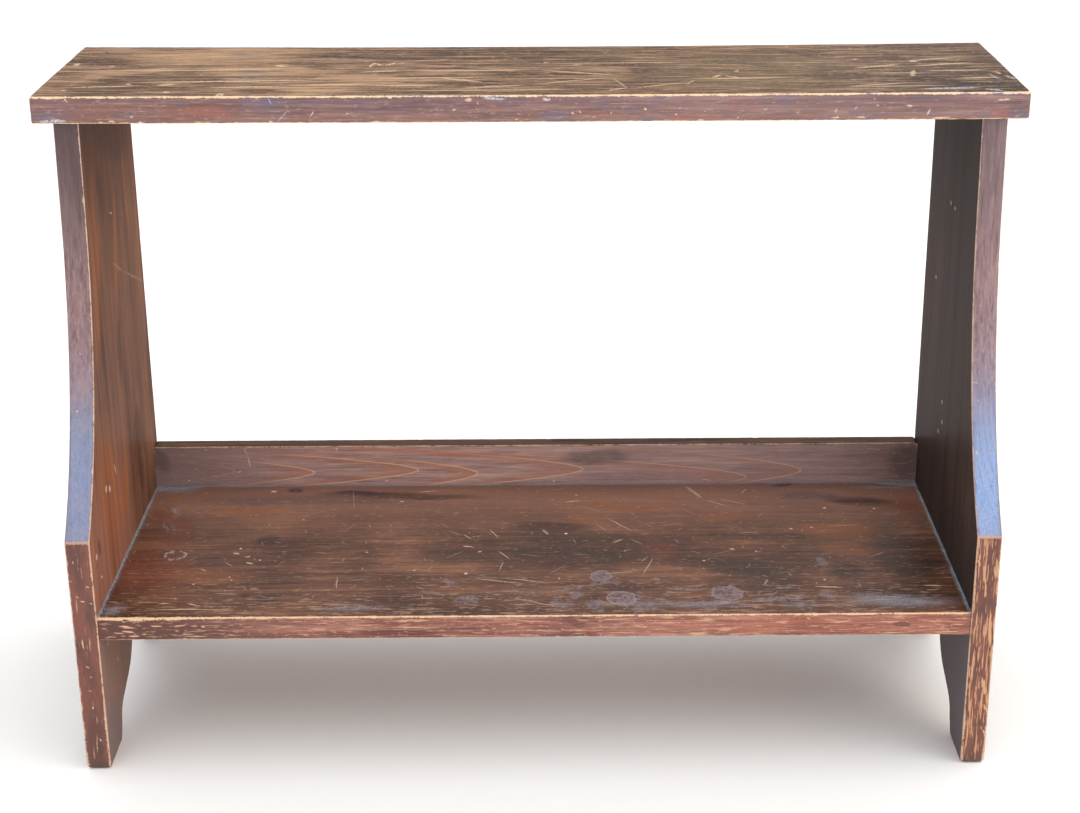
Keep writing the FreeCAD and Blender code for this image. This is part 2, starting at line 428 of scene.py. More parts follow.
class Board:
    """Points and faces of one board. Flat places are in its outline's plane, heights are across it."""

    def __init__(self, outline, thickness, arris, chips_per_metre, seed, buried):
        """buried marks the outline's points whose edge is hidden in a joint."""
        self.outline = outline
        self.half = thickness / 2
        self.low = outline.min(0)
        runs = np.linalg.norm(np.roll(outline, -1, 0) - outline, axis=1)
        self.along = np.concatenate([[0], np.cumsum(runs)])
        random = np.random.default_rng(seed)
        upper, lower = [worn_arris(random, self.along, arris, chips_per_metre, buried) for _ in range(2)]
        wall = wall_rows(self.half, self.half - upper[0], lower[0] - self.half, upper[1])
        self.rows = half_rim(1, self.half, *upper) + wall + half_rim(-1, self.half, *lower)[::-1]
        self.flat, self.heights, self.gaps, self.lost = np.empty((0, 2)), [], [], []
        self.faces = []
        self.add_rim()
        self.fill(self.rings[0], 1, "face")
        self.fill(self.rings[-1], -1, "back")

    def add_points(self, flat, heights, gaps, lost):
        start = len(self.flat)
        self.flat = np.concatenate([self.flat, flat])
        self.heights = np.concatenate([self.heights, heights])
        self.gaps = np.concatenate([self.gaps, gaps])
        self.lost = np.concatenate([self.lost, lost])
        return start

    def add_faces(self, region, indices, places=None):
        """Faces by their corners. A quad with two corners in one becomes a triangle."""
        if places is None:
            places = self.flat[indices] - self.low
        repeats = indices == np.roll(indices, 1, 1)
        for lost, size in ((0, indices.shape[1]), (1, indices.shape[1] - 1)):
            rows = repeats.sum(1) == lost
            kept = ~repeats[rows]
            if rows.any() and size > 2:
                corners = indices[rows][kept].reshape(-1, size)
                self.faces.append((region, corners, places[rows][kept].reshape(-1, size, 2)))

    def row_region(self, number):
        if number < len(band_shares):
            return "face"
        if number >= len(self.rows) - 1 - len(band_shares):
            return "back"
        return "rim"

    def add_rim(self):
        """Rows of points round the outline, and the faces between them."""
        normals = loop_normals(self.outline)
        self.rings = []
        for inset, height, gap, lost in self.rows:
            moved, nearest = inset_loop(self.outline, normals, inset)
            self.rings.append(self.add_points(moved, height, gap, lost) + nearest)
        across = [0.0]
        for row, following in zip(self.rows, self.rows[1:]):
            across.append(across[-1] + np.mean(np.hypot(following[0] - row[0], following[1] - row[1])))
        self.profile = across[-1]
        along, after = self.along[:-1], self.along[1:]
        for j, (first, second) in enumerate(zip(self.rings, self.rings[1:])):
            indices = np.stack([first, np.roll(first, -1), np.roll(second, -1), second], 1)
            near, far = np.full(len(along), across[j]), np.full(len(along), across[j + 1])
            pairs = ((along, near), (after, near), (after, far), (along, far))
            corners = [np.stack(pair, 1) for pair in pairs]
            region = self.row_region(j)
            self.add_faces(region, indices, np.stack(corners, 1) if region == "rim" else None)

    def fill(self, ring, side, region):
        """The face inside the rim's first or last row."""
        ring = ring[np.sort(np.unique(ring, return_index=True)[1])]
        spots, triangles = fill_loop(self.flat[ring])
        inner = spots[len(ring):]
        heights = np.full(len(inner), side * self.half)
        start = self.add_points(inner, heights, outline_gap(inner, self.outline), 0 * heights)
        numbers = np.concatenate([ring, start + np.arange(len(inner))])
        self.add_faces(region, numbers[triangles])

    def sheet(self):
        size = self.outline.max(0) - self.low
        folds = 2 if size[0] > 2 * size[1] else 1
        return BakeSheet([
            ("face", size[0], size[1], folds),
            ("back", size[0], size[1], folds),
            ("rim", self.along[-1], self.profile, rim_folds),
        ])

    def mesh(self, name, points, regions):
        """The mesh with its bake map. The regions' order is that of its materials."""
        mesh = bpy.data.meshes.new(name)
        sheet = self.sheet()
        totals = np.concatenate([np.full(len(c), c.shape[1]) for region, c, places in self.faces])
        corners = np.concatenate([c.ravel() for region, c, places in self.faces])
        spread = np.concatenate([sheet.spread(region, places).ravel() for region, c, places in self.faces])
        slots = np.concatenate([np.full(len(c), regions.index(region)) for region, c, places in self.faces])
        mesh.vertices.add(len(points))
        mesh.loops.add(len(corners))
        mesh.polygons.add(len(totals))
        mesh.vertices.foreach_set("co", points.astype(np.float32).ravel())
        mesh.loops.foreach_set("vertex_index", corners.astype(np.int32))
        mesh.polygons.foreach_set("loop_start", (np.cumsum(totals) - totals).astype(np.int32))
        mesh.polygons.foreach_set("material_index", slots.astype(np.int32))
        mesh.uv_layers.new(name="OFBake").data.foreach_set("uv", spread.astype(np.float32))
        mesh.polygons.foreach_set("use_smooth", np.ones(len(totals), bool))
        mesh.update(calc_edges=True)
        return mesh

    def build(self, name, to_space, materials, wear):
        """The board as an object. materials: by region. wear: how far arris wear reaches at each point."""
        points = to_space(self.flat, self.heights)
        mesh = self.mesh(name, points, list(materials))
        for material in materials.values():
            mesh.materials.append(material)
        reach = wear(points) + chip_reach * self.lost
        for title, values in (("gap", self.gaps), ("reach", reach)):
            attribute = mesh.attributes.new(title, "FLOAT", "POINT")
            attribute.data.foreach_set("value", values.astype(np.float32))
        drop_loose_points(mesh)
        board = bpy.data.objects.new(name, mesh)
        bpy.context.scene.collection.objects.link(board)
        return board


def drop_loose_points(mesh):
    """Removes the points that no face uses, and turns the faces outwards."""
    work = bmesh.new()
    work.from_mesh(mesh)
    bmesh.ops.delete(work, geom=[v for v in work.verts if not v.link_faces], context="VERTS")
    bmesh.ops.recalc_face_normals(work, faces=work.faces)
    work.to_mesh(mesh)
    work.free()


# Materials: values that nodes work out, and surfaces built up in layers

def linear(colour):
    """A screen colour, 0 to 255, as the linear colour that a shader takes."""
    shares = [c / 255 for c in colour]
    values = [s / 12.92 if s <= 0.04045 else ((s + 0.055) / 1.055) ** 2.4 for s in shares]
    return (*values, 1.0)


class Value:
    """What a node puts out. Sums, products and the like of numbers add a node each."""

    def __init__(self, paint, socket):
        self.paint = paint
        self.socket = socket

    def __add__(self, other):
        return self.paint.math("ADD", self, other)

    def __sub__(self, other):
        return self.paint.math("SUBTRACT", self, other)

    def __rsub__(self, other):
        return self.paint.math("SUBTRACT", other, self)

    def __mul__(self, other):
        return self.paint.math("MULTIPLY", self, other)

    def __truediv__(self, other):
        return self.paint.math("DIVIDE", self, other)

    def __pow__(self, other):
        return self.paint.math("POWER", self, other)

    def __abs__(self):
        return self.paint.math("ABSOLUTE", self)

    __radd__ = __add__

    def most(self, other):
        return self.paint.math("MAXIMUM", self, other)

    def fade(self, low, high):
        """0 at low and 1 at high, with a soft step between. Low may be the greater one."""
        ends = (0.0, 1.0) if low < high else (1.0, 0.0)
        inputs = dict(enumerate((self, min(low, high), max(low, high), *ends)))
        return self.paint.value("ShaderNodeMapRange", inputs, interpolation_type="SMOOTHSTEP")

    def swing(self, reach):
        """Noise about 0, by up to about this reach."""
        return (self - 0.5) * (2 * reach)

    def vector_math(self, operation, other):
        return self.paint.value("ShaderNodeVectorMath", {0: self, 1: other}, operation=operation)

    def scaled(self, factors):
        return self.vector_math("MULTIPLY", factors)

    def moved(self, offset):
        return self.vector_math("ADD", offset)


class Paint:
    """One material and its nodes."""

    def __init__(self, name):
        self.material = bpy.data.materials.new(name)
        self.material.use_nodes = True
        self.tree = self.material.node_tree
        self.tree.nodes.clear()
        output = self.tree.nodes.new("ShaderNodeOutputMaterial")
        self.shader = self.tree.nodes.new("ShaderNodeBsdfPrincipled")
        self.tree.links.new(self.shader.outputs[0], output.inputs[0])
        self.place = self.value("ShaderNodeTexCoord", {}, "Object")
        self.x, self.y, self.z = self.split("ShaderNodeSeparateXYZ", self.place)

    def set(self, socket, value):
        if isinstance(value, Value):
            self.tree.links.new(value.socket, socket)
        else:
            socket.default_value = value

    def outputs(self, kind, inputs, **settings):
        """The outputs of a new node."""
        made = self.tree.nodes.new(kind)
        for name, value in settings.items():
            setattr(made, name, value)
        for name, value in inputs.items():
            self.set(made.inputs[name], value)
        return made.outputs

    def value(self, kind, inputs, output=0, **settings):
        return Value(self, self.outputs(kind, inputs, **settings)[output])

    def split(self, kind, whole):
        return [Value(self, socket) for socket in self.outputs(kind, {0: whole})]

    def math(self, operation, *values):
        return self.value("ShaderNodeMath", dict(enumerate(values)), operation=operation)

    def vector(self, x, y, z):
        return self.value("ShaderNodeCombineXYZ", {0: x, 1: y, 2: z})

    def noise(self, scale, detail=2.0, roughness=0.5, place=None, output=0):
        inputs = {"Vector": place or self.place, "Scale": scale, "Detail": detail, "Roughness": roughness}
        return self.value("ShaderNodeTexNoise", inputs, output)

    def mix(self, share, a, b):
        """Colour a turning into colour b."""
        a, b = [c if isinstance(c, Value) else linear(c) for c in (a, b)]
        return self.value("ShaderNodeMix", {0: share, 6: a, 7: b}, 2, data_type="RGBA")

    def attribute(self, name):
        return self.value("ShaderNodeAttribute", {}, "Fac", attribute_name=name)

    def jitter(self, scale, reach, detail):
        """Places pushed about by up to about this reach, which makes what is drawn there ragged."""
        shares = self.split("ShaderNodeSeparateColor", self.noise(scale, detail, output="Color"))
        return self.place.moved(self.vector(*[share.swing(reach) for share in shares]))


class Coat:
    """The colour, roughness and height of a surface, built up in layers."""

    def __init__(self, paint, colour, roughness, height):
        self.paint = paint
        self.colour = colour
        self.roughness = roughness
        self.height = height

    def lay(self, share, colour, roughness=None, height=0.0):
        """Adds a layer where share is above 0. The height is in metres."""
        self.colour = self.paint.mix(share, self.colour, colour)
        if roughness is not None:
            self.roughness = self.roughness + share * (roughness - self.roughness)
        if height:
            self.height = self.height + share * height

    def finish(self, shine=0.5):
        bump = {"Height": self.height, "Distance": 1.0, "Strength": 1.0}
        inputs = {
            "Base Color": self.colour, "Roughness": self.roughness, "Specular IOR Level": shine,
            "Normal": self.paint.value("ShaderNodeBump", bump),
        }
        for name, value in inputs.items():
            self.paint.set(self.paint.shader.inputs[name], value)
        return self.paint.material


# Marks: each is an ellipse on a board's surface, from one pixel of the photo to another

mark_depth = 60 * mm
least_mark = 0.35 * mm
bare_edge = (0.35 * mm, -0.15 * mm)

# How places are pushed about for a kind of mark: scale, reach and detail
jitters = {
    "bent": (35.0, 2.5 * mm, 2.0), "ragged": (420.0, 1.6 * mm, 3.0),
    "blotchy": (110.0, 7 * mm, 5.0), "wandering": (9.0, 22 * mm, 3.0),
}


def mark_ellipse(mark, axis, level):
    """Centre, turn and half sizes of a mark on the plane axis = level."""
    a, b = [seen_at(pixel, axis, level) for pixel in (mark[:2], mark[2:4])]
    run = b - a
    half_width = max(mark[4] * mm / 2, least_mark)
    half_length = max(run.length / 2, half_width)
    turn = Vector((0, 0, 0))
    if axis == z_axis:
        turn.z = math.atan2(run.y, run.x)
        sizes = (half_length, half_width, mark_depth)
    elif axis == y_axis:
        turn.y = -math.atan2(run.z, run.x)
        sizes = (half_length, mark_depth, half_width)
    else:
        turn.x = math.atan2(run.z, run.y)
        sizes = (mark_depth, half_length, half_width)
    return (a + b) / 2, turn, sizes


class Marks:
    """Marks on the plane axis = level, which is one surface of a board."""

    def __init__(self, paint, axis, level):
        self.paint = paint
        self.plane = (axis, level)
        self.places = {}

    def closest(self, way, marks):
        """How near the closest mark is: 1 in its middle, 0 on its rim and beyond."""
        if way not in self.places:
            self.places[way] = self.paint.jitter(*jitters[way])
        closest = None
        for mark in marks:
            centre, turn, sizes = mark_ellipse(mark, *self.plane)
            inputs = {"Vector": self.places[way], "Location": centre, "Rotation": turn, "Scale": sizes}
            local = self.paint.value("ShaderNodeMapping", inputs, vector_type="TEXTURE")
            inside = self.paint.value("ShaderNodeTexGradient", {0: local}, 1, gradient_type="SPHERICAL")
            closest = closest.most(inside) if closest else inside
        return closest

    def chips(self, marks):
        return self.closest("ragged", marks).fade(0.2, 0.55)

    def scratches(self, marks, broken=0.42):
        """Thin marks, with gaps where a fine noise is below the value broken."""
        gaps = self.paint.noise(380.0).fade(broken - 0.1, broken + 0.06)
        return self.closest("bent", marks).fade(0.0, 0.4) * gaps

    def flakes(self, marks):
        """Marks with a broken surface, such as where finish has come off."""
        grit = self.paint.noise(300.0, 4.0, 0.7).fade(0.38, 0.58)
        return self.closest("ragged", marks).fade(0.0, 0.25) * grit

    def streaks(self, marks, grain, amount):
        """Worn streaks along the grain, densest in the middle of each mark."""
        return grain.dashes(9.0, 420.0, self.closest("bent", marks) * amount, 14.0)

    def smudges(self, marks):
        grit = self.paint.noise(260.0, 5.0, 0.75).fade(0.38, 0.62)
        return self.closest("blotchy", marks).fade(0.0, 0.35) * grit

    def dusting(self, marks):
        """Loose dust, as fine grains."""
        drawn = self.closest("blotchy", marks).fade(0.0, 0.8)
        return (self.paint.noise(620.0, 3.0, 0.6) + drawn * 0.28).fade(0.68, 0.82)

    def rims(self, marks):
        """The dried rim of each smudge."""
        inside = self.closest("blotchy", marks)
        return inside.fade(0.0, 0.05) * inside.fade(0.3, 0.1)

    def patches(self, marks):
        """Soft changes of tone."""
        return self.closest("wandering", marks).fade(0.0, 0.6)


# Wood

class Grain:
    """A board's axes along its grain, across it and into it, and the patterns that follow them."""

    def __init__(self, paint, order, seed, pace=1.0):
        self.paint = paint
        axes = (paint.x, paint.y, paint.z)
        self.along, self.across, self.depth = [axes[n] for n in order]
        self.seed = seed
        self.pace = pace

    def fibres(self, lengthwise, crosswise, detail=3.0, shift=0.0, roughness=0.55):
        """Noise drawn out along the grain, about 0.5."""
        along = self.along * (lengthwise * self.pace) + (self.seed + shift)
        place = self.paint.vector(along, self.across * crosswise, self.depth * crosswise)
        return self.paint.noise(1.0, detail, roughness, place)

    def dashes(self, lengthwise, crosswise, amount, shift=0.0):
        """Short worn streaks along the grain. The amount is the share of the surface that they cover."""
        speck = self.fibres(lengthwise, crosswise, 3.0, shift, 0.62)
        return (speck - (0.74 - amount * 0.48)).fade(-0.01, 0.035)

    def drift(self, lengthwise, crosswise, seed):
        """Noise that follows the grain loosely."""
        place = self.paint.vector(self.along * lengthwise, self.across * crosswise, seed)
        return self.paint.noise(1.0, place=place)

    def rings(self, centre, below, slope, spacing, wander):
        """Late-wood lines of a board sawn beside its heart, 0 to 1, and a tone between each two."""
        paint = self.paint
        broad = self.drift(2.6, 9.0, self.seed).swing(wander)
        close = self.drift(9.0, 34.0, self.seed + 7.0).swing(wander / 5)
        beside = self.across - centre + (broad + close)
        under = self.depth + below + self.along * slope
        phase = paint.math("SQRT", beside * beside + under * under) * (1 / spacing)
        share = paint.math("FRACT", phase)
        number = {"W": paint.math("FLOOR", phase)}
        tone = paint.value("ShaderNodeTexWhiteNoise", number, noise_dimensions="1D")
        return share.fade(0.25, 0.9) * share.fade(1.0, 0.93), tone


def ticks(paint, pair, cells, half_length, half_width, turn, share, seed):
    """Fine scratches in a share of the cells of a loose pattern, at up to this turn from the first axis."""
    spread = paint.vector(pair[0] * cells + seed, pair[1] * cells + seed, 0.0)
    inputs = {"Vector": spread, "Scale": 1.0}
    cell = paint.outputs("ShaderNodeTexVoronoi", inputs, voronoi_dimensions="2D")
    chance = paint.split("ShaderNodeSeparateColor", Value(paint, cell["Color"]))
    offset = spread.vector_math("SUBTRACT", Value(paint, cell["Position"]))
    inputs = {"Vector": offset, "Angle": chance[0].swing(turn)}
    turned = paint.value("ShaderNodeVectorRotate", inputs, rotation_type="Z_AXIS")
    along, across, _ = paint.split("ShaderNodeSeparateXYZ", turned)
    along = abs(along) / ((chance[2] * 0.8 + 0.3) * (half_length * cells))
    across = abs(across) * (1 / (half_width * cells))
    shape = along.most(across + along * along * 0.5)
    return shape.fade(1.0, 0.6) * paint.math("LESS_THAN", chance[1], share)


def bare_arris(paint):
    """Where the finish is gone along the arrises, 0 to 1."""
    mottle = paint.noise(70.0, 3.0, 0.6) * 0.55 + paint.noise(420.0, 3.0, 0.6) * 0.45
    reach = paint.attribute("reach") * mottle.fade(0.33, 0.66) * 2.0
    return (paint.attribute("gap") - reach).fade(*bare_edge)


# Colours, as screen colours

joint_dust = (152, 168, 180)
pale_scratch = (190, 168, 148)
panel_arris_tone = (200, 164, 138)


# Marks on the top board's upper face: start and end pixel, and width in mm

top_pale_streaks = [
    (352, 71, 405, 69.5, 6.4), (400, 69.8, 540, 68.4, 6.4), (536, 68.6, 626, 74.6, 6),
    (355, 84.2, 450, 84.6, 7), (458, 87.5, 530, 83.6, 6), (526, 84, 612, 76, 4.4),
    (612, 76.5, 629, 88, 1.8), (628, 88, 692, 80.5, 4), (686, 84, 694, 78.6, 2.6), (155, 85, 177, 83.6, 9),
    (162, 92.5, 170, 91.5, 9), (437, 76.5, 485, 81.5, 8), (150, 82, 330, 79, 8), (300, 84, 372, 83, 6.4),
    (205, 87, 285, 85.5, 8), (700, 78, 800, 76.2, 5.6), (900, 60.5, 960, 57, 6.4), (905, 66, 976, 62, 7),
    (850, 68, 905, 63, 8), (920, 70.5, 990, 69.5, 6.4), (955, 78, 1005, 77, 6.4), (840, 86, 915, 82, 5),
    (60, 88, 150, 85, 6.4), (95, 71, 330, 67.5, 5.6), (350, 77.5, 520, 75.6, 4.6),
    (380, 90.4, 600, 88, 4.6), (560, 62, 700, 60.5, 5),
]
top_pale_flecks = [
    (110, 66.5, 114, 65.5, 7), (75, 66, 79, 63, 8), (126, 84.4, 130, 83.6, 7), (276, 66, 288, 63, 14),
    (216, 98, 222, 92, 9), (369, 66, 376, 61, 5), (376, 62, 384, 65, 5), (384, 65, 396, 61, 5),
    (396, 62, 410, 60.5, 5), (712, 76.5, 722, 73.5, 5), (722, 74, 741, 77, 4), (734, 70.5, 739, 69.5, 6),
    (572, 64, 583, 63, 7), (544, 61.5, 548, 60.5, 7), (911, 61.5, 916, 60, 10), (912.6, 76, 913.4, 69.6, 7),
    (994, 71, 1001, 74, 6), (1004, 75, 1016, 79, 6), (606, 90, 628, 86.5, 5), (60, 91, 66, 90, 8),
    (852, 59, 858, 58, 7),
]
# Scuffs, with a painted blue sheen of the sky on them
top_scuffs_and_painted_sheen = [(919, 88.6, 983, 87.2, 9), (984, 88.8, 1006, 90.5, 7), (988, 73, 1000, 79, 2.6)]
top_blue_tones = [(224, 56, 250, 56, 40), (232, 70, 262, 80, 60)]
top_dark_tones = [
    (56, 91, 170, 83, 110), (84, 82, 150, 78, 60), (60, 92, 130, 90, 70), (180, 81, 232, 81, 34),
    (72, 88, 140, 84, 60), (455, 85, 492, 83.5, 32), (300, 67, 348, 67, 40), (540, 72, 600, 72, 50),
    (628, 70, 662, 68, 50), (230, 88, 300, 92, 34),
]
top_tan_tones = [
    (88, 56, 350, 50, 90), (300, 78, 420, 78, 60), (60, 74, 200, 66, 50), (160, 72, 370, 70, 110),
    (190, 90, 380, 88, 70), (110, 60, 330, 58, 90),
]
top_olive_tones = [(640, 72, 880, 66, 330)]
top_brown_tones = [(850, 74, 1040, 74, 330)]
top_black_tones = [
    (930, 84, 1036, 90, 120), (958, 84, 1020, 88, 80), (870, 79, 940, 76, 60), (984, 74, 1020, 80, 60),
]

# Marks on the top board's front edge

top_edge_chips = [
    (130, 116, 133, 118, 2), (107, 121.5, 115, 121, 3), (452, 111, 457, 108.5, 2.5),
    (477, 101, 479, 106, 1.6), (515, 120, 518, 118.5, 2.4), (571, 112, 575, 115, 2.6),
    (579, 109.5, 581, 114, 1.8), (591, 117, 596, 116.4, 1.8), (609, 114, 613, 111.5, 2.2),
    (644, 107.5, 647, 110, 2.4), (675, 115, 677, 114, 2.6), (678, 109.6, 682, 107.5, 2),
    (374, 121, 381, 121.6, 2.6), (547, 102, 550, 97, 2.4), (876, 104.4, 880, 106, 2.4),
    (873, 99.5, 876, 98, 2.6), (925.5, 117, 931.5, 107.5, 2.6), (905, 105, 914, 106.5, 3),
    (854, 110, 858, 106, 2.2), (835, 113, 837.5, 107.5, 1.8), (737, 119, 739, 116, 1.8),
    (703, 112, 706, 111, 1.8), (764, 110, 767, 109, 1.8), (797, 113, 799, 112, 1.6),
    (854, 117.5, 868, 117, 2.6), (829, 118, 842, 117, 2.2), (926, 118.5, 955, 117, 3),
    (112, 122.5, 115, 121.5, 2.4), (196, 123, 201, 122.5, 2.4), (234, 123, 239, 122, 2.6),
    (310, 116, 314, 111, 1.8), (345, 114, 350, 113.5, 1.6), (463, 100, 474, 99.5, 5),
    (31, 98.5, 68, 97.6, 3.6), (65, 99, 68, 103, 2.4), (995, 100, 1014, 99.2, 3),
]
# Worn spots, with a painted blue sheen of the sky on them
top_edge_wear_and_painted_sheen = [(38, 121.6, 67, 121, 4), (481, 98, 508, 99.4, 2.8), (541, 99, 552, 100, 2.6)]
top_edge_scratches = [(267.5, 97.5, 271, 106, 1.1), (288, 109, 276, 123.5, 1.2), (309, 118, 315, 110, 1)]
# Painted blue sheen of the sky on the front edge, in patches
top_edge_painted_sheen_tones = [
    (238, 103, 288, 103, 16), (536, 114, 577, 114, 15), (620, 105, 642, 105, 9), (28, 115, 64, 115, 16),
    (1010, 108, 1036, 108, 26), (985, 110, 1000, 110, 18), (640, 117, 672, 117, 8), (770, 105, 800, 105, 8),
]
top_edge_red_tones = [
    (990, 107, 1018, 107, 20), (994, 107, 1014, 107, 15), (170, 112, 250, 112, 14),
    (660, 112, 740, 112, 12),
]

# Marks on the left panel's front edge and inner face

left_edge_chips = [
    (61.5, 138, 64, 138.5, 2.4), (66.5, 163, 70, 164.5, 4), (61, 227, 65, 227.5, 2.4),
    (82.5, 255, 86.5, 255.6, 2.4), (71, 364, 76, 365, 3.4), (72, 416, 76.5, 416, 3),
]
left_edge_rubs = [(71, 130, 76, 134, 2.6), (80, 128, 84, 140, 1.6)]
left_foot_chips = [
    (85, 586, 90, 588, 1.7), (74, 596, 80, 598.5, 1.8), (79, 601, 86, 602, 1.8), (89, 603, 93, 605, 1.7),
    (81, 638, 84.6, 652, 2.4), (85, 666, 90, 668.5, 2.6), (89, 677, 93, 677.6, 1.6),
    (92, 706, 94, 710, 1.8), (96.5, 730, 97.6, 757, 1.2), (95, 584, 97.6, 612, 2.2),
    (100, 626, 101.6, 648, 2.2), (69, 580, 72, 583, 1.8), (71, 615, 73, 622, 1.6),
    (104, 700, 106.5, 716, 2.4), (108, 716, 110.6, 768, 5), (88, 690, 92, 692, 1.6),
    (72, 560, 74, 565, 1.4), (99, 738, 102, 742, 2.4),
]
left_edge_red_tones = [(52, 150, 58, 236, 9), (64, 300, 72, 350, 12)]
left_edge_pink_tones = [(80, 320, 84, 420, 26)]
left_face_chips = [
    (109.6, 212, 112, 214, 3.4), (113.5, 462, 117, 476, 4), (105, 488, 107.5, 490, 12),
    (108.5, 487, 111, 490, 10), (95.7, 553, 97.6, 561, 9), (101, 576, 103, 578, 5),
    (107.6, 640, 108.6, 647, 4), (117, 656, 119, 662, 3),
]
left_face_scratches = [(112, 262, 123, 271.5, 4), (122, 271, 144, 281, 4)]
left_face_dark_tones = [
    (139, 400, 139, 475, 75), (150, 150, 152, 470, 70), (90, 135, 135, 135, 60), (118, 300, 121, 390, 26),
    (138, 440, 146, 500, 44), (98, 160, 102, 215, 30), (97, 535, 99, 560, 18),
]
left_face_glow_tones = [
    (98, 430, 122, 560, 110), (92, 150, 98, 400, 46), (112, 160, 117, 330, 30), (128, 450, 122, 540, 60),
    (106, 650, 120, 650, 50), (110, 520, 116, 580, 50),
]
left_face_grey_tones = [(112, 720, 118, 765, 120)]

# Marks on the right panel's front edge and inner face

right_edge_chips = [
    (975, 311, 977.6, 313.5, 2.2), (975, 379, 977, 382, 2.6), (974, 389.6, 985, 390.4, 1.3),
    (974, 447, 976.5, 453, 2.2), (984, 190, 987, 193, 1.6), (999, 196, 1001, 200, 1.6),
    (979, 405, 983, 407, 1.2), (976, 340, 978, 344, 1.6), (998, 332, 1000, 336, 1.4),
]
right_edge_scratches = [(981.5, 291.5, 986, 297, 1.1), (985.5, 296.5, 992, 304.5, 1.1)]
right_edge_orange_tones = [(981, 190, 994, 225, 14), (992, 275, 990, 300, 9)]
right_edge_grey_tones = [(997, 118, 998, 140, 30), (991, 233, 992, 260, 16), (1000, 200, 999, 250, 7)]
right_foot_flakes = [
    (991, 600, 990, 660, 6), (981, 672, 987, 700, 8), (977, 556, 982, 570, 4), (984, 560, 988, 610, 4),
    (999, 560, 1001, 600, 3), (983, 702, 990, 716, 5), (994, 560, 995, 580, 3), (996, 640, 994, 680, 3.4),
    (975, 640, 968, 700, 2.4), (992, 676, 995, 690, 4), (980, 725, 988, 740, 3), (969, 712, 964, 758, 2.4),
]
right_face_chips = [
    (950, 202, 952, 204, 8), (954, 207, 956, 209.5, 7), (941, 401, 943, 403, 8), (941, 421, 943, 423, 8),
    (937, 430, 939, 432, 7), (935, 276, 937, 278, 7),
]

# Marks on the ledge's front face

ledge_scratches = [(243.6, 447.5, 247.6, 456, 1.3), (247.4, 455, 250.2, 468.8, 1.5)]
ledge_chips = [
    (334, 447, 338.5, 449.5, 3), (337, 449, 337.6, 452, 2), (237, 473, 242, 470.5, 2.4),
    (187, 481, 191.5, 480.4, 1.8), (204, 450, 208, 450.6, 1.6), (914, 443, 918, 445, 3.4),
    (863, 448, 883, 449.6, 1), (384, 481, 389, 480.5, 2), (552, 481.4, 556, 480.6, 2.2),
    (700, 479, 712, 480.6, 1.4), (836, 462, 838, 466, 1.4),
]
ledge_blue_tones = [(150, 450, 172, 482, 30), (880, 462, 925, 462, 60), (552, 455, 640, 455, 26)]
ledge_tips = [
    (196, 472, 236, 471, 20), (262, 473, 314, 472.4, 26), (352, 472, 418, 470, 28),
    (436, 474, 478, 473.3, 26), (516, 472, 583, 469, 30), (640, 480, 746, 477, 40),
    (748, 473, 801, 470, 30),
]

# Marks on the shelf's upper face

shelf_scratches = [
    (490, 529, 499, 538, 2.4), (462, 534, 472, 540, 2.4), (470, 537.4, 484, 536, 1.8),
    (497, 550, 511, 560, 2.2), (499, 572, 503, 561, 1.6), (542, 529, 548, 535, 3.2),
    (604, 517, 636, 533, 2.2), (611, 543.5, 624, 538.5, 3), (640, 562, 648, 556, 2),
    (740, 494, 747, 488, 2.4), (684, 485, 704, 499.5, 6), (702, 498.6, 731, 507, 2.2),
    (825, 526, 860, 524.6, 2), (470, 578, 528, 584, 2.6), (500, 578, 552, 583, 2.6),
    (337.6, 575, 336.8, 590, 2), (354, 488, 353.6, 512, 1), (446, 530, 462, 536, 1.4),
    (200, 569, 208, 571.4, 2.6), (224, 562, 234, 567, 1.6), (600, 574, 640, 571, 1.8),
    (763, 586, 768, 578, 1.8), (736, 533, 762, 532, 1.6), (654, 556, 642, 576, 1.6),
    (716, 498, 750, 505, 1.6), (524, 600, 560, 607, 2.4), (628, 538, 644, 545, 1.5),
]
shelf_flecks = [
    (239.6, 548, 242, 549.4, 4), (232, 553, 241, 554, 4), (244, 557, 252, 556.6, 3.4),
    (245, 562, 255, 564.6, 4), (258, 560, 262, 560.6, 5), (228, 577, 231, 577.4, 3),
    (191.6, 584, 195, 584.4, 3.6), (230, 579.6, 233, 580.4, 4), (564.4, 533, 568, 534, 6),
    (574.6, 495, 578, 495.4, 3.6), (464, 573, 467.6, 574, 6), (412.6, 570, 416, 570.6, 4),
    (557.6, 578, 560.6, 578.6, 3.6), (822.6, 507, 826, 508.6, 6), (872, 508, 876.6, 509, 5),
    (754.6, 551, 757.6, 551.6, 4), (728, 548.4, 736, 549.4, 3.6), (809, 527, 814, 527.6, 4),
    (702, 560, 706, 561, 3.4), (822, 579, 827, 580, 5), (788, 528, 793, 529.4, 5),
    (624, 550.4, 626, 551, 3), (270, 491, 278, 492, 9), (302, 519.6, 306, 520, 3), (399, 501, 405, 502, 3),
    (412, 493, 444, 490, 2), (365, 552, 369, 552.6, 3.6), (560, 503, 584, 500, 2.4),
    (478, 551, 482, 552, 3.4), (460, 546, 476, 547, 3),
]
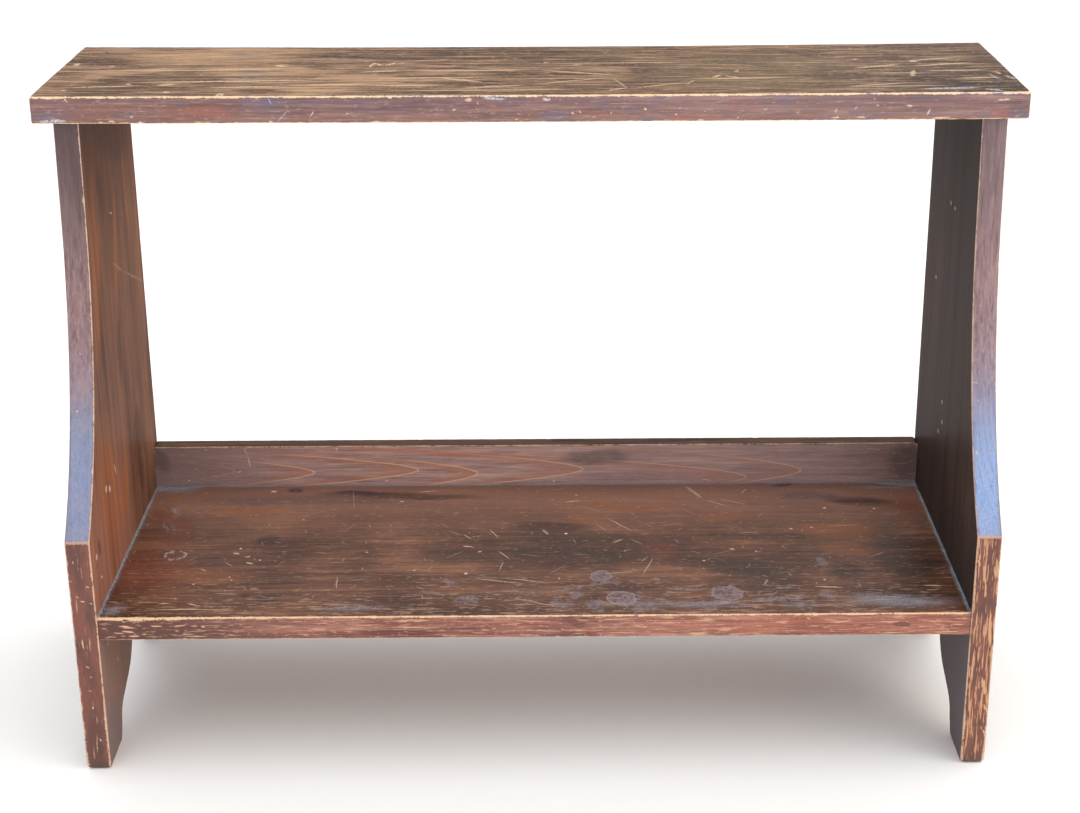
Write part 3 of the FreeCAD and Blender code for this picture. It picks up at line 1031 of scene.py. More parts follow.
shelf_smudges = [
    (604, 606, 700, 602, 8), (664, 588, 706, 590, 7), (748, 600, 800, 598, 9), (770, 586, 812, 590, 6),
    (690, 608, 760, 606, 6), (500, 590, 540, 594, 6), (420, 590, 446, 596, 7), (850, 594, 884, 596, 8),
    (900, 604, 950, 603, 7), (445, 577, 452, 587, 9), (452, 600, 480, 599, 24), (592, 574, 610, 577, 26),
    (551, 591.5, 590, 585, 7), (586, 585.6, 622, 580, 9), (606, 600, 636, 596, 34),
    (584, 604, 606, 604, 26), (568, 594, 586, 594, 16), (547, 602, 574, 606, 11), (628, 579, 637, 584, 5),
    (651, 579, 661, 580, 9), (662, 595, 674, 595, 7), (642, 607, 658, 607, 12), (712, 592, 742, 594, 36),
    (816, 556, 826, 566, 12), (818, 592, 836, 598, 18), (590, 612, 606, 609, 10), (596, 604, 640, 601, 4),
]
shelf_smudge_rims = [(606, 600, 636, 596, 34), (592, 574, 610, 577, 26), (712, 592, 742, 594, 36)]
shelf_ring_stain = [(169, 556, 181.6, 554.4, 24)]
shelf_knots = [(252, 540.4, 285, 540, 42), (248, 600.4, 286, 597, 32), (238, 596, 252, 596, 16)]
shelf_wear = [
    (180, 602.6, 208, 607, 7), (156, 603, 172, 603.4, 5), (129, 609.4, 252, 609.8, 2.6),
    (914, 585, 952, 586, 6), (918, 590, 944, 589, 4), (868, 600, 900, 598, 4), (936, 577, 962, 578, 3),
    (880, 584, 914, 584, 3), (806, 586, 850, 588, 4),
]
shelf_dust = [
    (162, 518, 170, 538, 8), (144, 524, 150, 526, 12), (100, 612, 122, 612, 36), (150, 493, 212, 488, 22),
    (815, 600, 975, 600, 46), (296, 609, 410, 606, 12), (660, 606, 760, 600, 20), (838, 487, 930, 488, 14),
    (172, 505, 176, 516, 14),
]
# Painted dark bluish shade along the corner in front of the ledge
shelf_painted_shade_at_ledge = [(288, 489, 309, 489.6, 20), (764, 487, 796, 486.6, 14), (310, 493, 400, 494, 16)]
shelf_dark_tones = [
    (470, 545, 670, 552, 150), (470, 552, 640, 556, 120), (498, 528, 604, 528, 44),
    (550, 536, 640, 536, 40), (826, 570, 866, 571, 62), (880, 552, 950, 572, 60), (400, 556, 520, 556, 60),
    (310, 495, 500, 497, 30), (810, 500, 905, 501, 36), (880, 520, 930, 600, 90), (690, 562, 800, 575, 60),
    (840, 590, 950, 600, 70),
]
shelf_red_tones = [
    (140, 545, 160, 600, 130), (160, 500, 176, 560, 60), (636, 550, 672, 550, 60), (520, 564, 600, 560, 50),
    (900, 500, 915, 510, 60),
]
shelf_orange_tones = [
    (552, 517, 606, 517, 24), (566, 506, 700, 505, 20), (780, 528, 900, 536, 60), (200, 510, 300, 512, 40),
    (150, 575, 270, 577, 50), (690, 520, 760, 515, 30), (810, 548, 900, 550, 50), (850, 520, 890, 552, 56),
]
# Painted bluish shade in front of the ledge
shelf_painted_bluish_shade = [(176, 500, 430, 501, 44), (760, 497, 860, 497, 30)]
# Painted bluish-grey sheen near the shelf's front
shelf_painted_grey_sheen = [(600, 606, 700, 604, 24), (850, 603, 965, 603, 36), (770, 604, 830, 604, 24)]

# Marks on the shelf's front edge

shelf_edge_bare = [
    (113, 619, 167, 617.6, 4), (114, 626.4, 137, 627, 4), (118, 636.6, 152, 635, 7),
    (118, 630.6, 136, 632, 3), (149, 626, 163, 625.6, 2.4), (170, 625.4, 191, 625, 2.2),
    (201, 624.6, 206, 628, 3.6), (929, 620.6, 938, 621.4, 2), (951, 624, 967, 623.4, 2.4),
    (844, 614.6, 872, 614, 3.4), (164, 636, 220, 636.6, 2), (560, 628, 564, 632, 1.6),
    (612, 622, 630, 621, 2), (640, 627, 650, 626, 2), (806, 617, 812, 619, 2.4), (848, 625, 866, 624, 1.6),
    (930, 632, 964, 631, 2.2), (700, 620, 722, 619.6, 1.6),
]
shelf_edge_knots = [(888, 624, 916, 624.6, 9), (568, 625, 592, 625, 9)]
shelf_edge_dark_tones = [(100, 628, 118, 628, 24), (940, 624, 975, 624, 22), (560, 620, 600, 620, 12)]
shelf_edge_red_tones = [(610, 626, 860, 622, 22)]


# Wood that the photo shows, and wood like it where the photo shows nothing

# How much each pattern tells: clouds, broad and narrow streaks, fibres, hair lines, growth rings
weathered = (0.5, 0.5, 1.3, 1.2, 0.6, 0.16)
varnished = (0.5, 0.45, 0.7, 0.6, 0.4, 0.12)
mottled = (0.75, 0.4, 0.45, 0.5, 0.4, 0.08)
fine_grained = (0.15, 0.3, 0.6, 0.7, 0.4, 0.12)
smooth = (0.45, 0.35, 0.45, 0.45, 0.35, 0.06)

# Growth rings: their centre across the board, its depth below, the slope along the board, spacing, wander.
# The rims share all but the centre.
top_rings = (20 * mm, 120 * mm, 0.035, 6 * mm, 26 * mm)
shelf_rings = (50 * mm, 160 * mm, 0.03, 6 * mm, 25 * mm)
ledge_rings = (200 * mm, 300 * mm, 0.0, 6 * mm, 12 * mm)
panel_rings = (20 * mm, 200 * mm, 0.02, 8 * mm, 30 * mm)
hidden_rings = (30 * mm, 120 * mm, 0.03, 6 * mm, 26 * mm)
rim_rings = (100 * mm, 0.02, 6 * mm, 20 * mm)
top_rim_rings = (720 * mm, *rim_rings)
low_rim_rings = (200 * mm, *rim_rings)
panel_rim_rings = (600 * mm, *rim_rings)

# Where tones come and go: along the bench, from its middle
top_dark_end = (280 * mm, 460 * mm)
top_rubbed_start, top_rubbed_end = (260 * mm, 340 * mm), (470 * mm, 380 * mm)
top_edge_pale_start, top_edge_pale_end = (60 * mm, 200 * mm), (400 * mm, 300 * mm)
top_edge_dark_end = (-220 * mm, -360 * mm)
spatter_start, spatter_end = (-160 * mm, -20 * mm), (440 * mm, 300 * mm)
shelf_edge_dark_end = (-200 * mm, -380 * mm)
shelf_edge_red_end = (150 * mm, 350 * mm)
ledge_mauve_start = (-60 * mm, 120 * mm)
ledge_grey_end = (-260 * mm, -380 * mm)
ledge_middle_x = 20 * mm
ledge_ends_from = 300 * mm

# and up and across the panels and the shelf
shelf_pale_back = (-20 * mm, ledge_low.y)
# Painted shade under the top board on the panels' inner faces: where it begins and where it is full
left_top_painted_shade = (500 * mm, top_underside)
left_top_painted_deep_shade = (600 * mm, top_underside)
left_low_height, left_low_depth = (420 * mm, 240 * mm), (60 * mm, -40 * mm)
right_top_painted_shade = (450 * mm, top_underside)
right_low_grey = (320 * mm, 160 * mm)
# Where the panels' inner faces get a painted pale bluish sheen, below the shelf
painted_sheen_below_shelf = (shelf_low.z + 10 * mm, shelf_low.z - 10 * mm)
# Where the hollow curve of the panels' edges gets its painted blue reflection
hollow_painted_reflection_height, hollow_painted_reflection_depth = (460 * mm, 360 * mm), (0.0, front_y / 2)
foot_height, foot_depth = (knuckle_height + 1 * mm, knuckle_height - 1 * mm), (60 * mm, -60 * mm)
panel_back = (front_y / 2, back_y / 2)
# Painted shade on the panels' front edges, under the top board
left_edge_painted_shade_top = (480 * mm, top_underside)
right_edge_painted_shade_top = (500 * mm, top_underside)
left_toe, right_toe = (16 * mm, 6 * mm), (20 * mm, 6 * mm)
ledge_low_strip = (ledge_low.z + 4 * mm, ledge_low.z)
upper_edge_y = (front_y + panel_top_front_y) / 2

# Depths of wear
worn_depth = -0.08 * mm
arris_depth = -0.12 * mm
bare_depth = -0.1 * mm
deep_depth = -0.15 * mm
tick_depth, scratch_depth = -0.04 * mm, -0.06 * mm
hair_relief, fibre_relief, streak_relief, ring_relief = 0.05 * mm, 0.10 * mm, 0.14 * mm, 0.05 * mm

# Fine scratches: cells in a metre, half length, half width, turn, share of the cells and seed
top_ticks = (34.0, 9 * mm, 0.7 * mm, 0.9, 0.6, 2.3)
shelf_long_ticks = (17.0, 16 * mm, 0.55 * mm, 1.1, 0.5, 1.7)
shelf_short_ticks = (42.0, 5 * mm, 0.7 * mm, 1.4, 0.5, 8.1)
hidden_ticks = (20.0, 13 * mm, 0.6 * mm, 1.0, 0.3)

# Pointed growth rings on the ledge: width of their line, power of their curve and how they wander
arch_line = 1.0 * mm
arch_power = 1.7
arch_wave, arch_fibre_wave = 5 * mm, 1.2 * mm

# Dust in the joints: how far it reaches, how ragged it is and where its edge begins and ends
dusty_corner, corner_dust_reach = 60 * mm, 30 * mm
side_dust_reach, back_dust_reach = 4 * mm, 3.5 * mm
dust_ragged = 9 * mm
side_dust_edge, back_dust_edge = (1 * mm, -1 * mm), (1 * mm, -1.5 * mm)
panel_dust_start, panel_dust_edge = 0.8 * mm, 1.6 * mm
panel_dust_width = 2.5 * mm
below_ledge_top = (ledge_high.z + 1 * mm, ledge_high.z - 1 * mm)

# Bare wood at the knuckle
knuckle_ragged = 1.6 * mm
knuckle_wear_edge = (1.7 * mm, 0.7 * mm)


def stained_wood(paint, grain, rings, colours, gloss, weights):
    """A coat of stain and varnish on pine. colours: dark, middle and light."""
    line, tone = grain.rings(*rings)
    hair = grain.fibres(22.0, 1300.0, 2.0, 1.0)
    fine = grain.fibres(7.0, 380.0, 3.0, 2.0, 0.65)
    streak = grain.fibres(3.0, 120.0, 4.0, 3.0, 0.65)
    broad = grain.fibres(1.1, 22.0, 3.0, 4.0)
    cloud = paint.noise(9.0, 4.0, 0.6, paint.place.moved((grain.seed,) * 3))
    swings = [pattern.swing(weight) for pattern, weight in zip((cloud, broad, streak, fine, hair), weights)]
    ringing = (line - 0.3) + (tone - 0.5) * 0.5
    total = sum(swings[1:], swings[0]) + ringing * weights[-1] + 0.5
    dark, middle, light = colours
    colour = paint.mix(total.fade(0.05, 0.6), dark, middle)
    colour = paint.mix(total.fade(0.5, 1.0), colour, light)
    roughness = gloss + cloud.swing(0.08) + fine.swing(0.06)
    height = hair * hair_relief + fine * fibre_relief + streak * streak_relief + line * ring_relief
    return Coat(paint, colour, roughness, height)


def specks(coat, grain, share, colour):
    """Fine pale specks and pores, a little longer along the grain."""
    coat.lay(grain.dashes(60.0, 420.0, 0.26, 13.0) * share, colour, 0.6)


def wear_arrises(coat, colour):
    coat.lay(bare_arris(coat.paint), colour, 0.6, arris_depth)


def top_face(paint):
    grain = Grain(paint, (0, 1, 2), 3.0, 2.4)
    marks = Marks(paint, z_axis, top_high.z)
    colours = ((66, 45, 31), (107, 78, 57), (163, 130, 103))
    coat = stained_wood(paint, grain, top_rings, colours, 0.55, weathered)
    coat.lay(marks.patches(top_tan_tones) * grain.fibres(3.0, 90.0, 3.0, 11.0) * 1.3, (182, 145, 110))
    coat.lay(marks.patches(top_olive_tones) * 0.6, (107, 88, 66))
    coat.lay(marks.patches(top_brown_tones) * grain.fibres(3.0, 110.0, 4.0, 12.0, 0.7) * 1.4, (84, 62, 52))
    coat.lay(marks.patches(top_dark_tones) * grain.fibres(3.0, 120.0, 3.0, 9.0) * 1.7, (78, 52, 36))
    coat.lay(paint.x.fade(*top_dark_end) * grain.fibres(3.0, 90.0, 4.0, 13.0, 0.7) * 1.1, (64, 49, 45))
    coat.lay(marks.patches(top_black_tones) * grain.fibres(2.0, 70.0, 3.0, 14.0) * 1.6, (48, 36, 33))
    coat.lay(marks.patches(top_blue_tones) * 0.4, (122, 114, 112))
    coat.lay(grain.dashes(5.0, 190.0, 0.35, 6.0) * 0.6, (182, 150, 118), 0.6, worn_depth)
    near_end = paint.x.fade(*top_rubbed_start) * paint.x.fade(*top_rubbed_end)
    coat.lay(grain.dashes(4.0, 150.0, near_end * 0.36, 19.0) * 0.7, (186, 156, 130), 0.6, worn_depth)
    coat.lay(grain.dashes(3.2, 230.0, 0.36, 8.0) * 0.65, (62, 43, 32), 0.6, deep_depth)
    coat.lay(grain.dashes(9.0, 520.0, 0.4, 17.0) * 0.5, (70, 50, 38), 0.6, bare_depth)
    specks(coat, grain, 0.5, (196, 164, 130))
    coat.lay(marks.scratches(top_pale_streaks, 0.4) * 0.8, (202, 172, 140), 0.6, bare_depth)
    coat.lay(marks.flakes(top_pale_flecks) * 0.9, (214, 186, 152), 0.65, bare_depth)
    # Scuffs with a painted blue sheen
    coat.lay(marks.flakes(top_scuffs_and_painted_sheen) * 0.9, (184, 186, 196), 0.6)
    coat.lay(ticks(paint, (paint.x, paint.y), *top_ticks) * 0.5, (196, 166, 134), 0.6)
    wear_arrises(coat, (218, 186, 148))
    return coat.finish(0.1)


def top_rim(paint):
    grain = Grain(paint, (0, 2, 1), 5.0, 2.0)
    marks = Marks(paint, y_axis, top_low.y)
    colours = ((98, 68, 66), (130, 98, 94), (158, 121, 109))
    coat = stained_wood(paint, grain, top_rim_rings, colours, 0.4, varnished)
    middle = (top_low.z + top_high.z) / 2
    coat.lay(paint.z.fade(middle, top_high.z) * 0.4, (118, 96, 104))
    coat.lay(paint.z.fade(middle, top_low.z) * 0.4, (146, 104, 88))
    pale = paint.x.fade(*top_edge_pale_start) * paint.x.fade(*top_edge_pale_end)
    coat.lay(pale * 0.3, (158, 124, 116))
    coat.lay(paint.x.fade(*top_edge_dark_end) * 0.5, (112, 75, 67))
    hue = paint.noise(1.0, 3.0, 0.6, paint.place.scaled((26.0, 26.0, 90.0)))
    coat.lay(hue.fade(0.52, 0.66) * 0.4, (104, 92, 108))
    coat.lay(hue.fade(0.48, 0.34) * 0.4, (150, 90, 74))
    banded = grain.fibres(3.0, 90.0, 4.0, 26.0, 0.7)
    # Painted blue sheen of the sky, in patches
    coat.lay(marks.patches(top_edge_painted_sheen_tones) * banded * 1.0, (104, 100, 120))
    coat.lay(marks.patches(top_edge_red_tones) * banded * 0.85, (164, 90, 70))
    coat.lay(grain.dashes(7.0, 420.0, 0.42, 9.0) * 0.35, (92, 62, 60), 0.5)
    coat.lay(grain.dashes(10.0, 500.0, 0.26, 4.0) * 0.4, (190, 146, 122), 0.55)
    specks(coat, grain, 0.35, (196, 156, 132))
    coat.lay(marks.scratches(top_edge_scratches) * 0.75, (200, 190, 194))
    coat.lay(marks.chips(top_edge_chips) * 0.85, (220, 182, 150), 0.65, deep_depth)
    # Worn spots with a painted blue sheen
    coat.lay(marks.flakes(top_edge_wear_and_painted_sheen) * 0.9, (196, 196, 208), 0.6)
    wear_arrises(coat, (228, 194, 152))
    return coat.finish(0.5)


def shelf_tones(coat, marks, grain):
    """Broad changes in the shelf's stain, with painted bluish shade in front of the ledge and a painted
    bluish-grey sheen near the front.
    """
    banded = grain.fibres(1.6, 44.0, 4.0, 21.0, 0.65)
    coat.lay(coat.paint.y.fade(*shelf_pale_back) * 0.7, (150, 111, 94))
    coat.lay(marks.patches(shelf_red_tones) * banded * 1.1, (116, 60, 46))
    coat.lay(marks.patches(shelf_orange_tones) * banded * 1.1, (142, 86, 54))
    coat.lay(marks.patches(shelf_dark_tones) * (1.0 - banded) * 1.4, (60, 43, 36))
    # Painted bluish shade in front of the ledge
    coat.lay(marks.patches(shelf_painted_bluish_shade) * 0.45, (80, 70, 76))
    # Painted bluish-grey sheen near the front
    coat.lay(marks.patches(shelf_painted_grey_sheen) * 0.35, (110, 106, 114))
    # Painted dark bluish shade along the corner in front of the ledge
    coat.lay(marks.patches(shelf_painted_shade_at_ledge) * 0.7, (46, 42, 58))
    coat.lay(marks.chips(shelf_knots) * 0.7, (50, 38, 34))


def shelf_face(paint):
    grain = Grain(paint, (0, 1, 2), 9.0, 1.8)
    marks = Marks(paint, z_axis, shelf_high.z)
    colours = ((62, 38, 29), (97, 63, 49), (136, 94, 70))
    coat = stained_wood(paint, grain, shelf_rings, colours, 0.36, mottled)
    shelf_tones(coat, marks, grain)
    frontness = paint.y.fade(0.0, shelf_low.y)
    coat.lay(grain.dashes(24.0, 260.0, frontness * 0.36, 5.0) * 0.55, (176, 142, 118), 0.5)
    spattered = frontness * paint.x.fade(*spatter_start) * paint.x.fade(*spatter_end)
    clumps = paint.noise(26.0, 4.0, 0.6).fade(0.4, 0.65)
    spatter = grain.dashes(60.0, 330.0, spattered * clumps * 0.55, 15.0)
    coat.lay(spatter * 0.45, (150, 140, 144), 0.5)
    coat.lay(grain.dashes(6.0, 330.0, 0.24, 7.0) * 0.4, (148, 110, 86), 0.45)
    specks(coat, grain, 0.4, (170, 136, 112))
    long_tick = ticks(paint, (paint.x, paint.y), *shelf_long_ticks)
    short_tick = ticks(paint, (paint.x, paint.y), *shelf_short_ticks)
    coat.lay(long_tick.most(short_tick) * 0.5, pale_scratch, 0.5, tick_depth)
    coat.lay(marks.smudges(shelf_smudges) * 0.8, (136, 126, 136), 0.5)
    coat.lay(marks.rims(shelf_smudge_rims) * 0.5, (160, 148, 156), 0.5)
    ring_gap = paint.noise(120.0, 1.0).fade(0.38, 0.5)
    coat.lay(marks.rims(shelf_ring_stain) * ring_gap * 0.85, (176, 164, 170), 0.5)
    coat.lay(marks.scratches(shelf_scratches) * 0.75, pale_scratch, 0.5, scratch_depth)
    coat.lay(marks.chips(shelf_flecks), (210, 190, 170), 0.55, worn_depth)
    coat.lay(marks.streaks(shelf_wear, grain, 0.9) * 0.9, (206, 172, 138), 0.6, bare_depth)
    haze = grain.fibres(9.0, 240.0, 5.0, 23.0, 0.75).fade(0.38, 0.66)
    coat.lay(marks.patches(shelf_dust) * haze * 0.5, (132, 134, 144), 0.6)
    coat.lay(marks.dusting(shelf_dust) * 0.5, (158, 162, 170), 0.7)
    coat.lay(shelf_joint_dust(paint), joint_dust, 0.8)
    wear_arrises(coat, (222, 184, 142))
    return coat.finish(0.12)


def shelf_joint_dust(paint):
    """Dust in the corners where the shelf meets the panels and the ledge."""
    uneven = paint.noise(28.0, 4.0, 0.6)
    side = panel_inner_x - abs(paint.x)
    back = ledge_low.y - paint.y
    near_corner = side.fade(dusty_corner, 0.0) * back.fade(dusty_corner, 0.0)
    speck = paint.noise(560.0, 4.0, 0.75).swing(dust_ragged)
    side_dust = (side - (uneven * side_dust_reach + speck)).fade(*side_dust_edge)
    back_spread = uneven * back_dust_reach + near_corner * uneven * corner_dust_reach + speck
    back_dust = (back - back_spread).fade(*back_dust_edge)
    grains = paint.noise(700.0, 3.0, 0.7).fade(0.36, 0.56)
    return side_dust.most(back_dust) * uneven.fade(0.2, 0.5) * grains


def shelf_rim(paint):
    grain = Grain(paint, (0, 2, 1), 12.0, 2.0)
    marks = Marks(paint, y_axis, shelf_low.y)
    colours = ((98, 54, 46), (142, 90, 78), (182, 130, 110))
    coat = stained_wood(paint, grain, low_rim_rings, colours, 0.4, varnished)
    coat.lay(marks.patches(shelf_edge_red_tones) * 0.45, (158, 88, 68))
    coat.lay(marks.patches(shelf_edge_dark_tones) * 0.6, (92, 60, 56))
    coat.lay(paint.x.fade(*shelf_edge_dark_end) * 0.85, (84, 50, 45))
    coat.lay(paint.x.fade(*shelf_edge_red_end) * 0.5, (150, 82, 61))
    coat.lay(marks.chips(shelf_edge_knots) * 0.7, (80, 52, 48))
    coat.lay(grain.dashes(16.0, 380.0, 0.32, 4.0) * 0.7, (208, 162, 132), 0.6, worn_depth)
    specks(coat, grain, 0.5, (210, 166, 136))
    coat.lay(grain.dashes(8.0, 420.0, 0.4, 9.0) * 0.4, (88, 48, 42), 0.5)
    coat.lay(marks.streaks(shelf_edge_bare, grain, 1.0) * 0.9, (212, 168, 126), 0.65, deep_depth)
    wear_arrises(coat, (222, 184, 142))
    return coat.finish(0.4)


def ledge_face(paint):
    grain = Grain(paint, (0, 2, 1), 6.0, 2.0)
    marks = Marks(paint, y_axis, ledge_low.y)
    colours = ((110, 82, 79), (165, 131, 126), (199, 165, 151))
    coat = stained_wood(paint, grain, ledge_rings, colours, 0.36, fine_grained)
    for tip in ledge_tips:
        lay_arch(coat, grain, tip)
    coat.lay(paint.x.fade(*ledge_mauve_start) * 0.4, (160, 134, 130))
    coat.lay(abs(paint.x - ledge_middle_x).fade(ledge_ends_from, panel_inner_x) * 0.7, (116, 88, 83))
    coat.lay(paint.x.fade(*ledge_grey_end) * 0.5, (142, 122, 123))
    coat.lay(marks.patches(ledge_blue_tones) * 0.65, (92, 78, 78))
    coat.lay(paint.z.fade(*ledge_low_strip) * 0.5, (116, 108, 116), 0.6)
    coat.lay(grain.dashes(12.0, 420.0, 0.22, 4.0) * 0.4, (200, 160, 134), 0.5)
    specks(coat, grain, 0.3, (200, 164, 140))
    coat.lay(marks.scratches(ledge_scratches, 0.3) * 0.9, (210, 194, 204), 0.5)
    coat.lay(marks.chips(ledge_chips) * 0.9, (220, 190, 164), 0.6, bare_depth)
    wear_arrises(coat, (196, 164, 140))
    return coat.finish(0.7)


def lay_arch(coat, grain, tip):
    """One growth ring of a cathedral pattern: an arch whose point is at the mark's end."""
    paint = coat.paint
    start, end = [seen_at(pixel, y_axis, ledge_low.y) for pixel in (tip[:2], tip[2:4])]
    length = (end - start).length
    half_height = tip[4] * mm / 2
    wave = paint.noise(1.0, place=paint.place.scaled((18.0, 18.0, 40.0))).swing(arch_wave)
    wave = wave + grain.fibres(60.0, 900.0, 2.0, 5.0).swing(arch_fibre_wave)
    beside = abs(paint.z - end.z)
    height = beside * (1 / half_height)
    run = height ** arch_power * length
    slope = height ** (arch_power - 1) * (arch_power * length / half_height)
    inside = end.x - paint.x + wave - run
    coat.lay(inside.fade(0.0, arch_line) * inside.fade(length, arch_line) * 0.6, (178, 112, 80))
    line = (abs(inside) / (slope + 1.0)).fade(arch_line, 0.0)
    lasting = beside.fade(2.0 * half_height, 0.7 * half_height)
    coat.lay(line * lasting * 0.85, (232, 190, 154))


def ledge_rim(paint):
    grain = Grain(paint, (0, 1, 2), 8.0, 2.0)
    colours = ((58, 42, 36), (84, 62, 52), (110, 84, 68))
    coat = stained_wood(paint, grain, low_rim_rings, colours, 0.5, varnished)
    wear_arrises(coat, (190, 158, 134))
    return coat.finish(0.04)


def left_face(paint):
    grain = Grain(paint, (2, 1, 0), 15.0)
    marks = Marks(paint, x_axis, -panel_inner_x)
    colours = ((88, 58, 46), (126, 88, 70), (154, 108, 80))
    coat = stained_wood(paint, grain, panel_rings, colours, 0.42, smooth)
    # Painted shade under the top board, darker towards the top
    coat.lay(paint.z.fade(*left_top_painted_shade) * 0.65, (101, 58, 36))
    coat.lay(paint.z.fade(*left_top_painted_deep_shade) * 0.45, (68, 42, 31))
    coat.lay(paint.z.fade(*left_low_height) * paint.y.fade(*left_low_depth) * 0.55, (182, 124, 104))
    coat.lay(marks.patches(left_face_glow_tones) * 0.45, (172, 102, 60))
    coat.lay(marks.patches(left_face_dark_tones) * 0.55, (80, 54, 44))
    coat.lay(grain.fibres(1.3, 70.0, 5.0, 31.0, 0.65).fade(0.42, 0.74) * 0.5, (76, 50, 40))
    # Painted pale bluish sheen below the shelf
    coat.lay(paint.z.fade(*painted_sheen_below_shelf) * 0.7, (142, 118, 110))
    coat.lay(marks.patches(left_face_grey_tones) * 0.6, (120, 110, 112))
    coat.lay(marks.scratches(left_face_scratches) * 0.3, (186, 156, 136), 0.5)
    coat.lay(marks.chips(left_face_chips) * 0.9, (210, 184, 162), 0.6, bare_depth)
    coat.lay(panel_joint_dust(paint), joint_dust, 0.8)
    wear_arrises(coat, panel_arris_tone)
    return coat.finish(0.006)


def right_face(paint):
    grain = Grain(paint, (2, 1, 0), 19.0)
    marks = Marks(paint, x_axis, panel_inner_x)
    # Darker than the left panel's inner face: partly the stain, partly painted shade, since this face looks
    # away from the brighter side
    colours = ((54, 42, 38), (74, 60, 56), (92, 75, 66))
    coat = stained_wood(paint, grain, panel_rings, colours, 0.42, smooth)
    # Painted shade under the top board, darker towards the top
    coat.lay(paint.z.fade(*right_top_painted_shade) * 0.65, (40, 31, 28))
    coat.lay(paint.z.fade(*right_low_grey) * 0.4, (46, 40, 41))
    # Painted pale bluish sheen below the shelf
    coat.lay(paint.z.fade(*painted_sheen_below_shelf) * 0.75, (122, 112, 116))
    coat.lay(marks.chips(right_face_chips) * 0.8, (180, 164, 150), 0.6, bare_depth)
    coat.lay(panel_joint_dust(paint), joint_dust, 0.8)
    wear_arrises(coat, panel_arris_tone)
    return coat.finish(0.006)


def panel_joint_dust(paint):
    """Dust on a panel's inner face, just above the shelf and beside the ledge."""
    low = (abs(paint.z - shelf_high.z) - panel_dust_start).fade(panel_dust_edge, 0.0)
    beside = abs(paint.y - ledge_low.y).fade(panel_dust_width, 0.0) * paint.z.fade(*below_ledge_top)
    return low.most(beside) * paint.noise(40.0, 3.0).fade(0.25, 0.6) * 0.8


def panel_edge(paint, seed):
    """The look that both panels' edges share: mauve above the knuckle with a painted blue reflection in its
    hollow curve, worn red-brown below it.
    """
    grain = Grain(paint, (2, 0, 1), seed, 1.5)
    colours = ((98, 72, 72), (134, 104, 106), (154, 122, 118))
    coat = stained_wood(paint, grain, panel_rim_rings, colours, 0.28, varnished)
    coat.lay(grain.dashes(14.0, 420.0, 0.3, 24.0) * 0.3, (176, 146, 140), 0.4)
    coat.lay(grain.dashes(6.0, 300.0, 0.36, 25.0) * 0.35, (84, 62, 64), 0.35)
    # Painted blue reflection of the sky in the hollow curve above the knuckle
    coat.lay(paint.z.fade(*hollow_painted_reflection_height) * paint.y.fade(*hollow_painted_reflection_depth) * 0.55, (94, 102, 122))
    foot = paint.z.fade(*foot_height) * paint.y.fade(*foot_depth)
    coat.lay(foot * 0.95, (118, 62, 42), 0.5)
    coat.lay(foot * grain.fibres(9.0, 60.0, 3.0, 5.0).fade(0.45, 0.65) * 0.7, (82, 44, 35), 0.5)
    blot = paint.noise(1.0, 4.0, 0.65, paint.place.scaled((60.0, 60.0, 24.0))).fade(0.55, 0.68)
    coat.lay(foot * blot * 0.6, (64, 42, 38), 0.5)
    coat.lay(paint.y.fade(*panel_back) * 0.7, (104, 70, 58), 0.45)
    return coat, grain, foot


def finish_panel_edge(coat, knuckle_tone):
    """Bare wood at the knuckle and along the arrises."""
    paint = coat.paint
    height = paint.z + paint.noise(300.0, 3.0).swing(knuckle_ragged) - knuckle_height
    worn = abs(height).fade(*knuckle_wear_edge) * paint.y.fade(0.0, front_y)
    coat.lay(worn * 0.8, knuckle_tone, 0.6)
    wear_arrises(coat, panel_arris_tone)
    return coat.finish(0.6)


def left_rim(paint):
    marks = Marks(paint, y_axis, front_y)
    upper = Marks(paint, y_axis, upper_edge_y)
    coat, grain, foot = panel_edge(paint, 22.0)
    # Painted shade under the top board, darker towards the top
    coat.lay(paint.z.fade(*left_edge_painted_shade_top) * 0.9, (70, 47, 46))
    coat.lay(upper.patches(left_edge_red_tones) * 0.45, (146, 80, 62))
    coat.lay(upper.patches(left_edge_pink_tones) * 0.3, (156, 118, 122))
    coat.lay(grain.dashes(24.0, 420.0, foot * 0.2, 4.0) * 0.6, (206, 158, 122), 0.6)
    coat.lay(upper.chips(left_edge_chips) * 0.8, (206, 186, 176), 0.6, bare_depth)
    coat.lay(upper.flakes(left_edge_rubs) * 0.6, (160, 158, 170), 0.6)
    coat.lay(marks.chips(left_foot_chips), (214, 170, 132), 0.65, deep_depth)
    coat.lay(paint.z.fade(*left_toe) * 0.6, (74, 54, 48), 0.7)
    return finish_panel_edge(coat, (190, 146, 112))


def right_rim(paint):
    marks = Marks(paint, y_axis, front_y)
    upper = Marks(paint, y_axis, upper_edge_y)
    coat, grain, foot = panel_edge(paint, 27.0)
    # Painted grey shade under the top board, towards the top
    coat.lay(paint.z.fade(*right_edge_painted_shade_top) * 0.45, (104, 86, 90))
    coat.lay(upper.patches(right_edge_orange_tones) * 0.6, (156, 96, 78))
    coat.lay(upper.patches(right_edge_grey_tones) * 0.35, (122, 116, 124))
    coat.lay(grain.dashes(22.0, 430.0, foot * 0.41, 4.0) * 0.85, (204, 150, 108), 0.65, arris_depth)
    coat.lay(upper.chips(right_edge_chips) * 0.85, (214, 178, 146), 0.6, bare_depth)
    coat.lay(upper.scratches(right_edge_scratches, 0.2) * 0.7, (196, 170, 156))
    coat.lay(marks.streaks(right_foot_flakes, grain, 1.1) * 0.9, (206, 156, 112), 0.65, deep_depth)
    coat.lay(paint.z.fade(*right_toe) * 0.5, (84, 62, 54), 0.7)
    return finish_panel_edge(coat, (190, 142, 106))


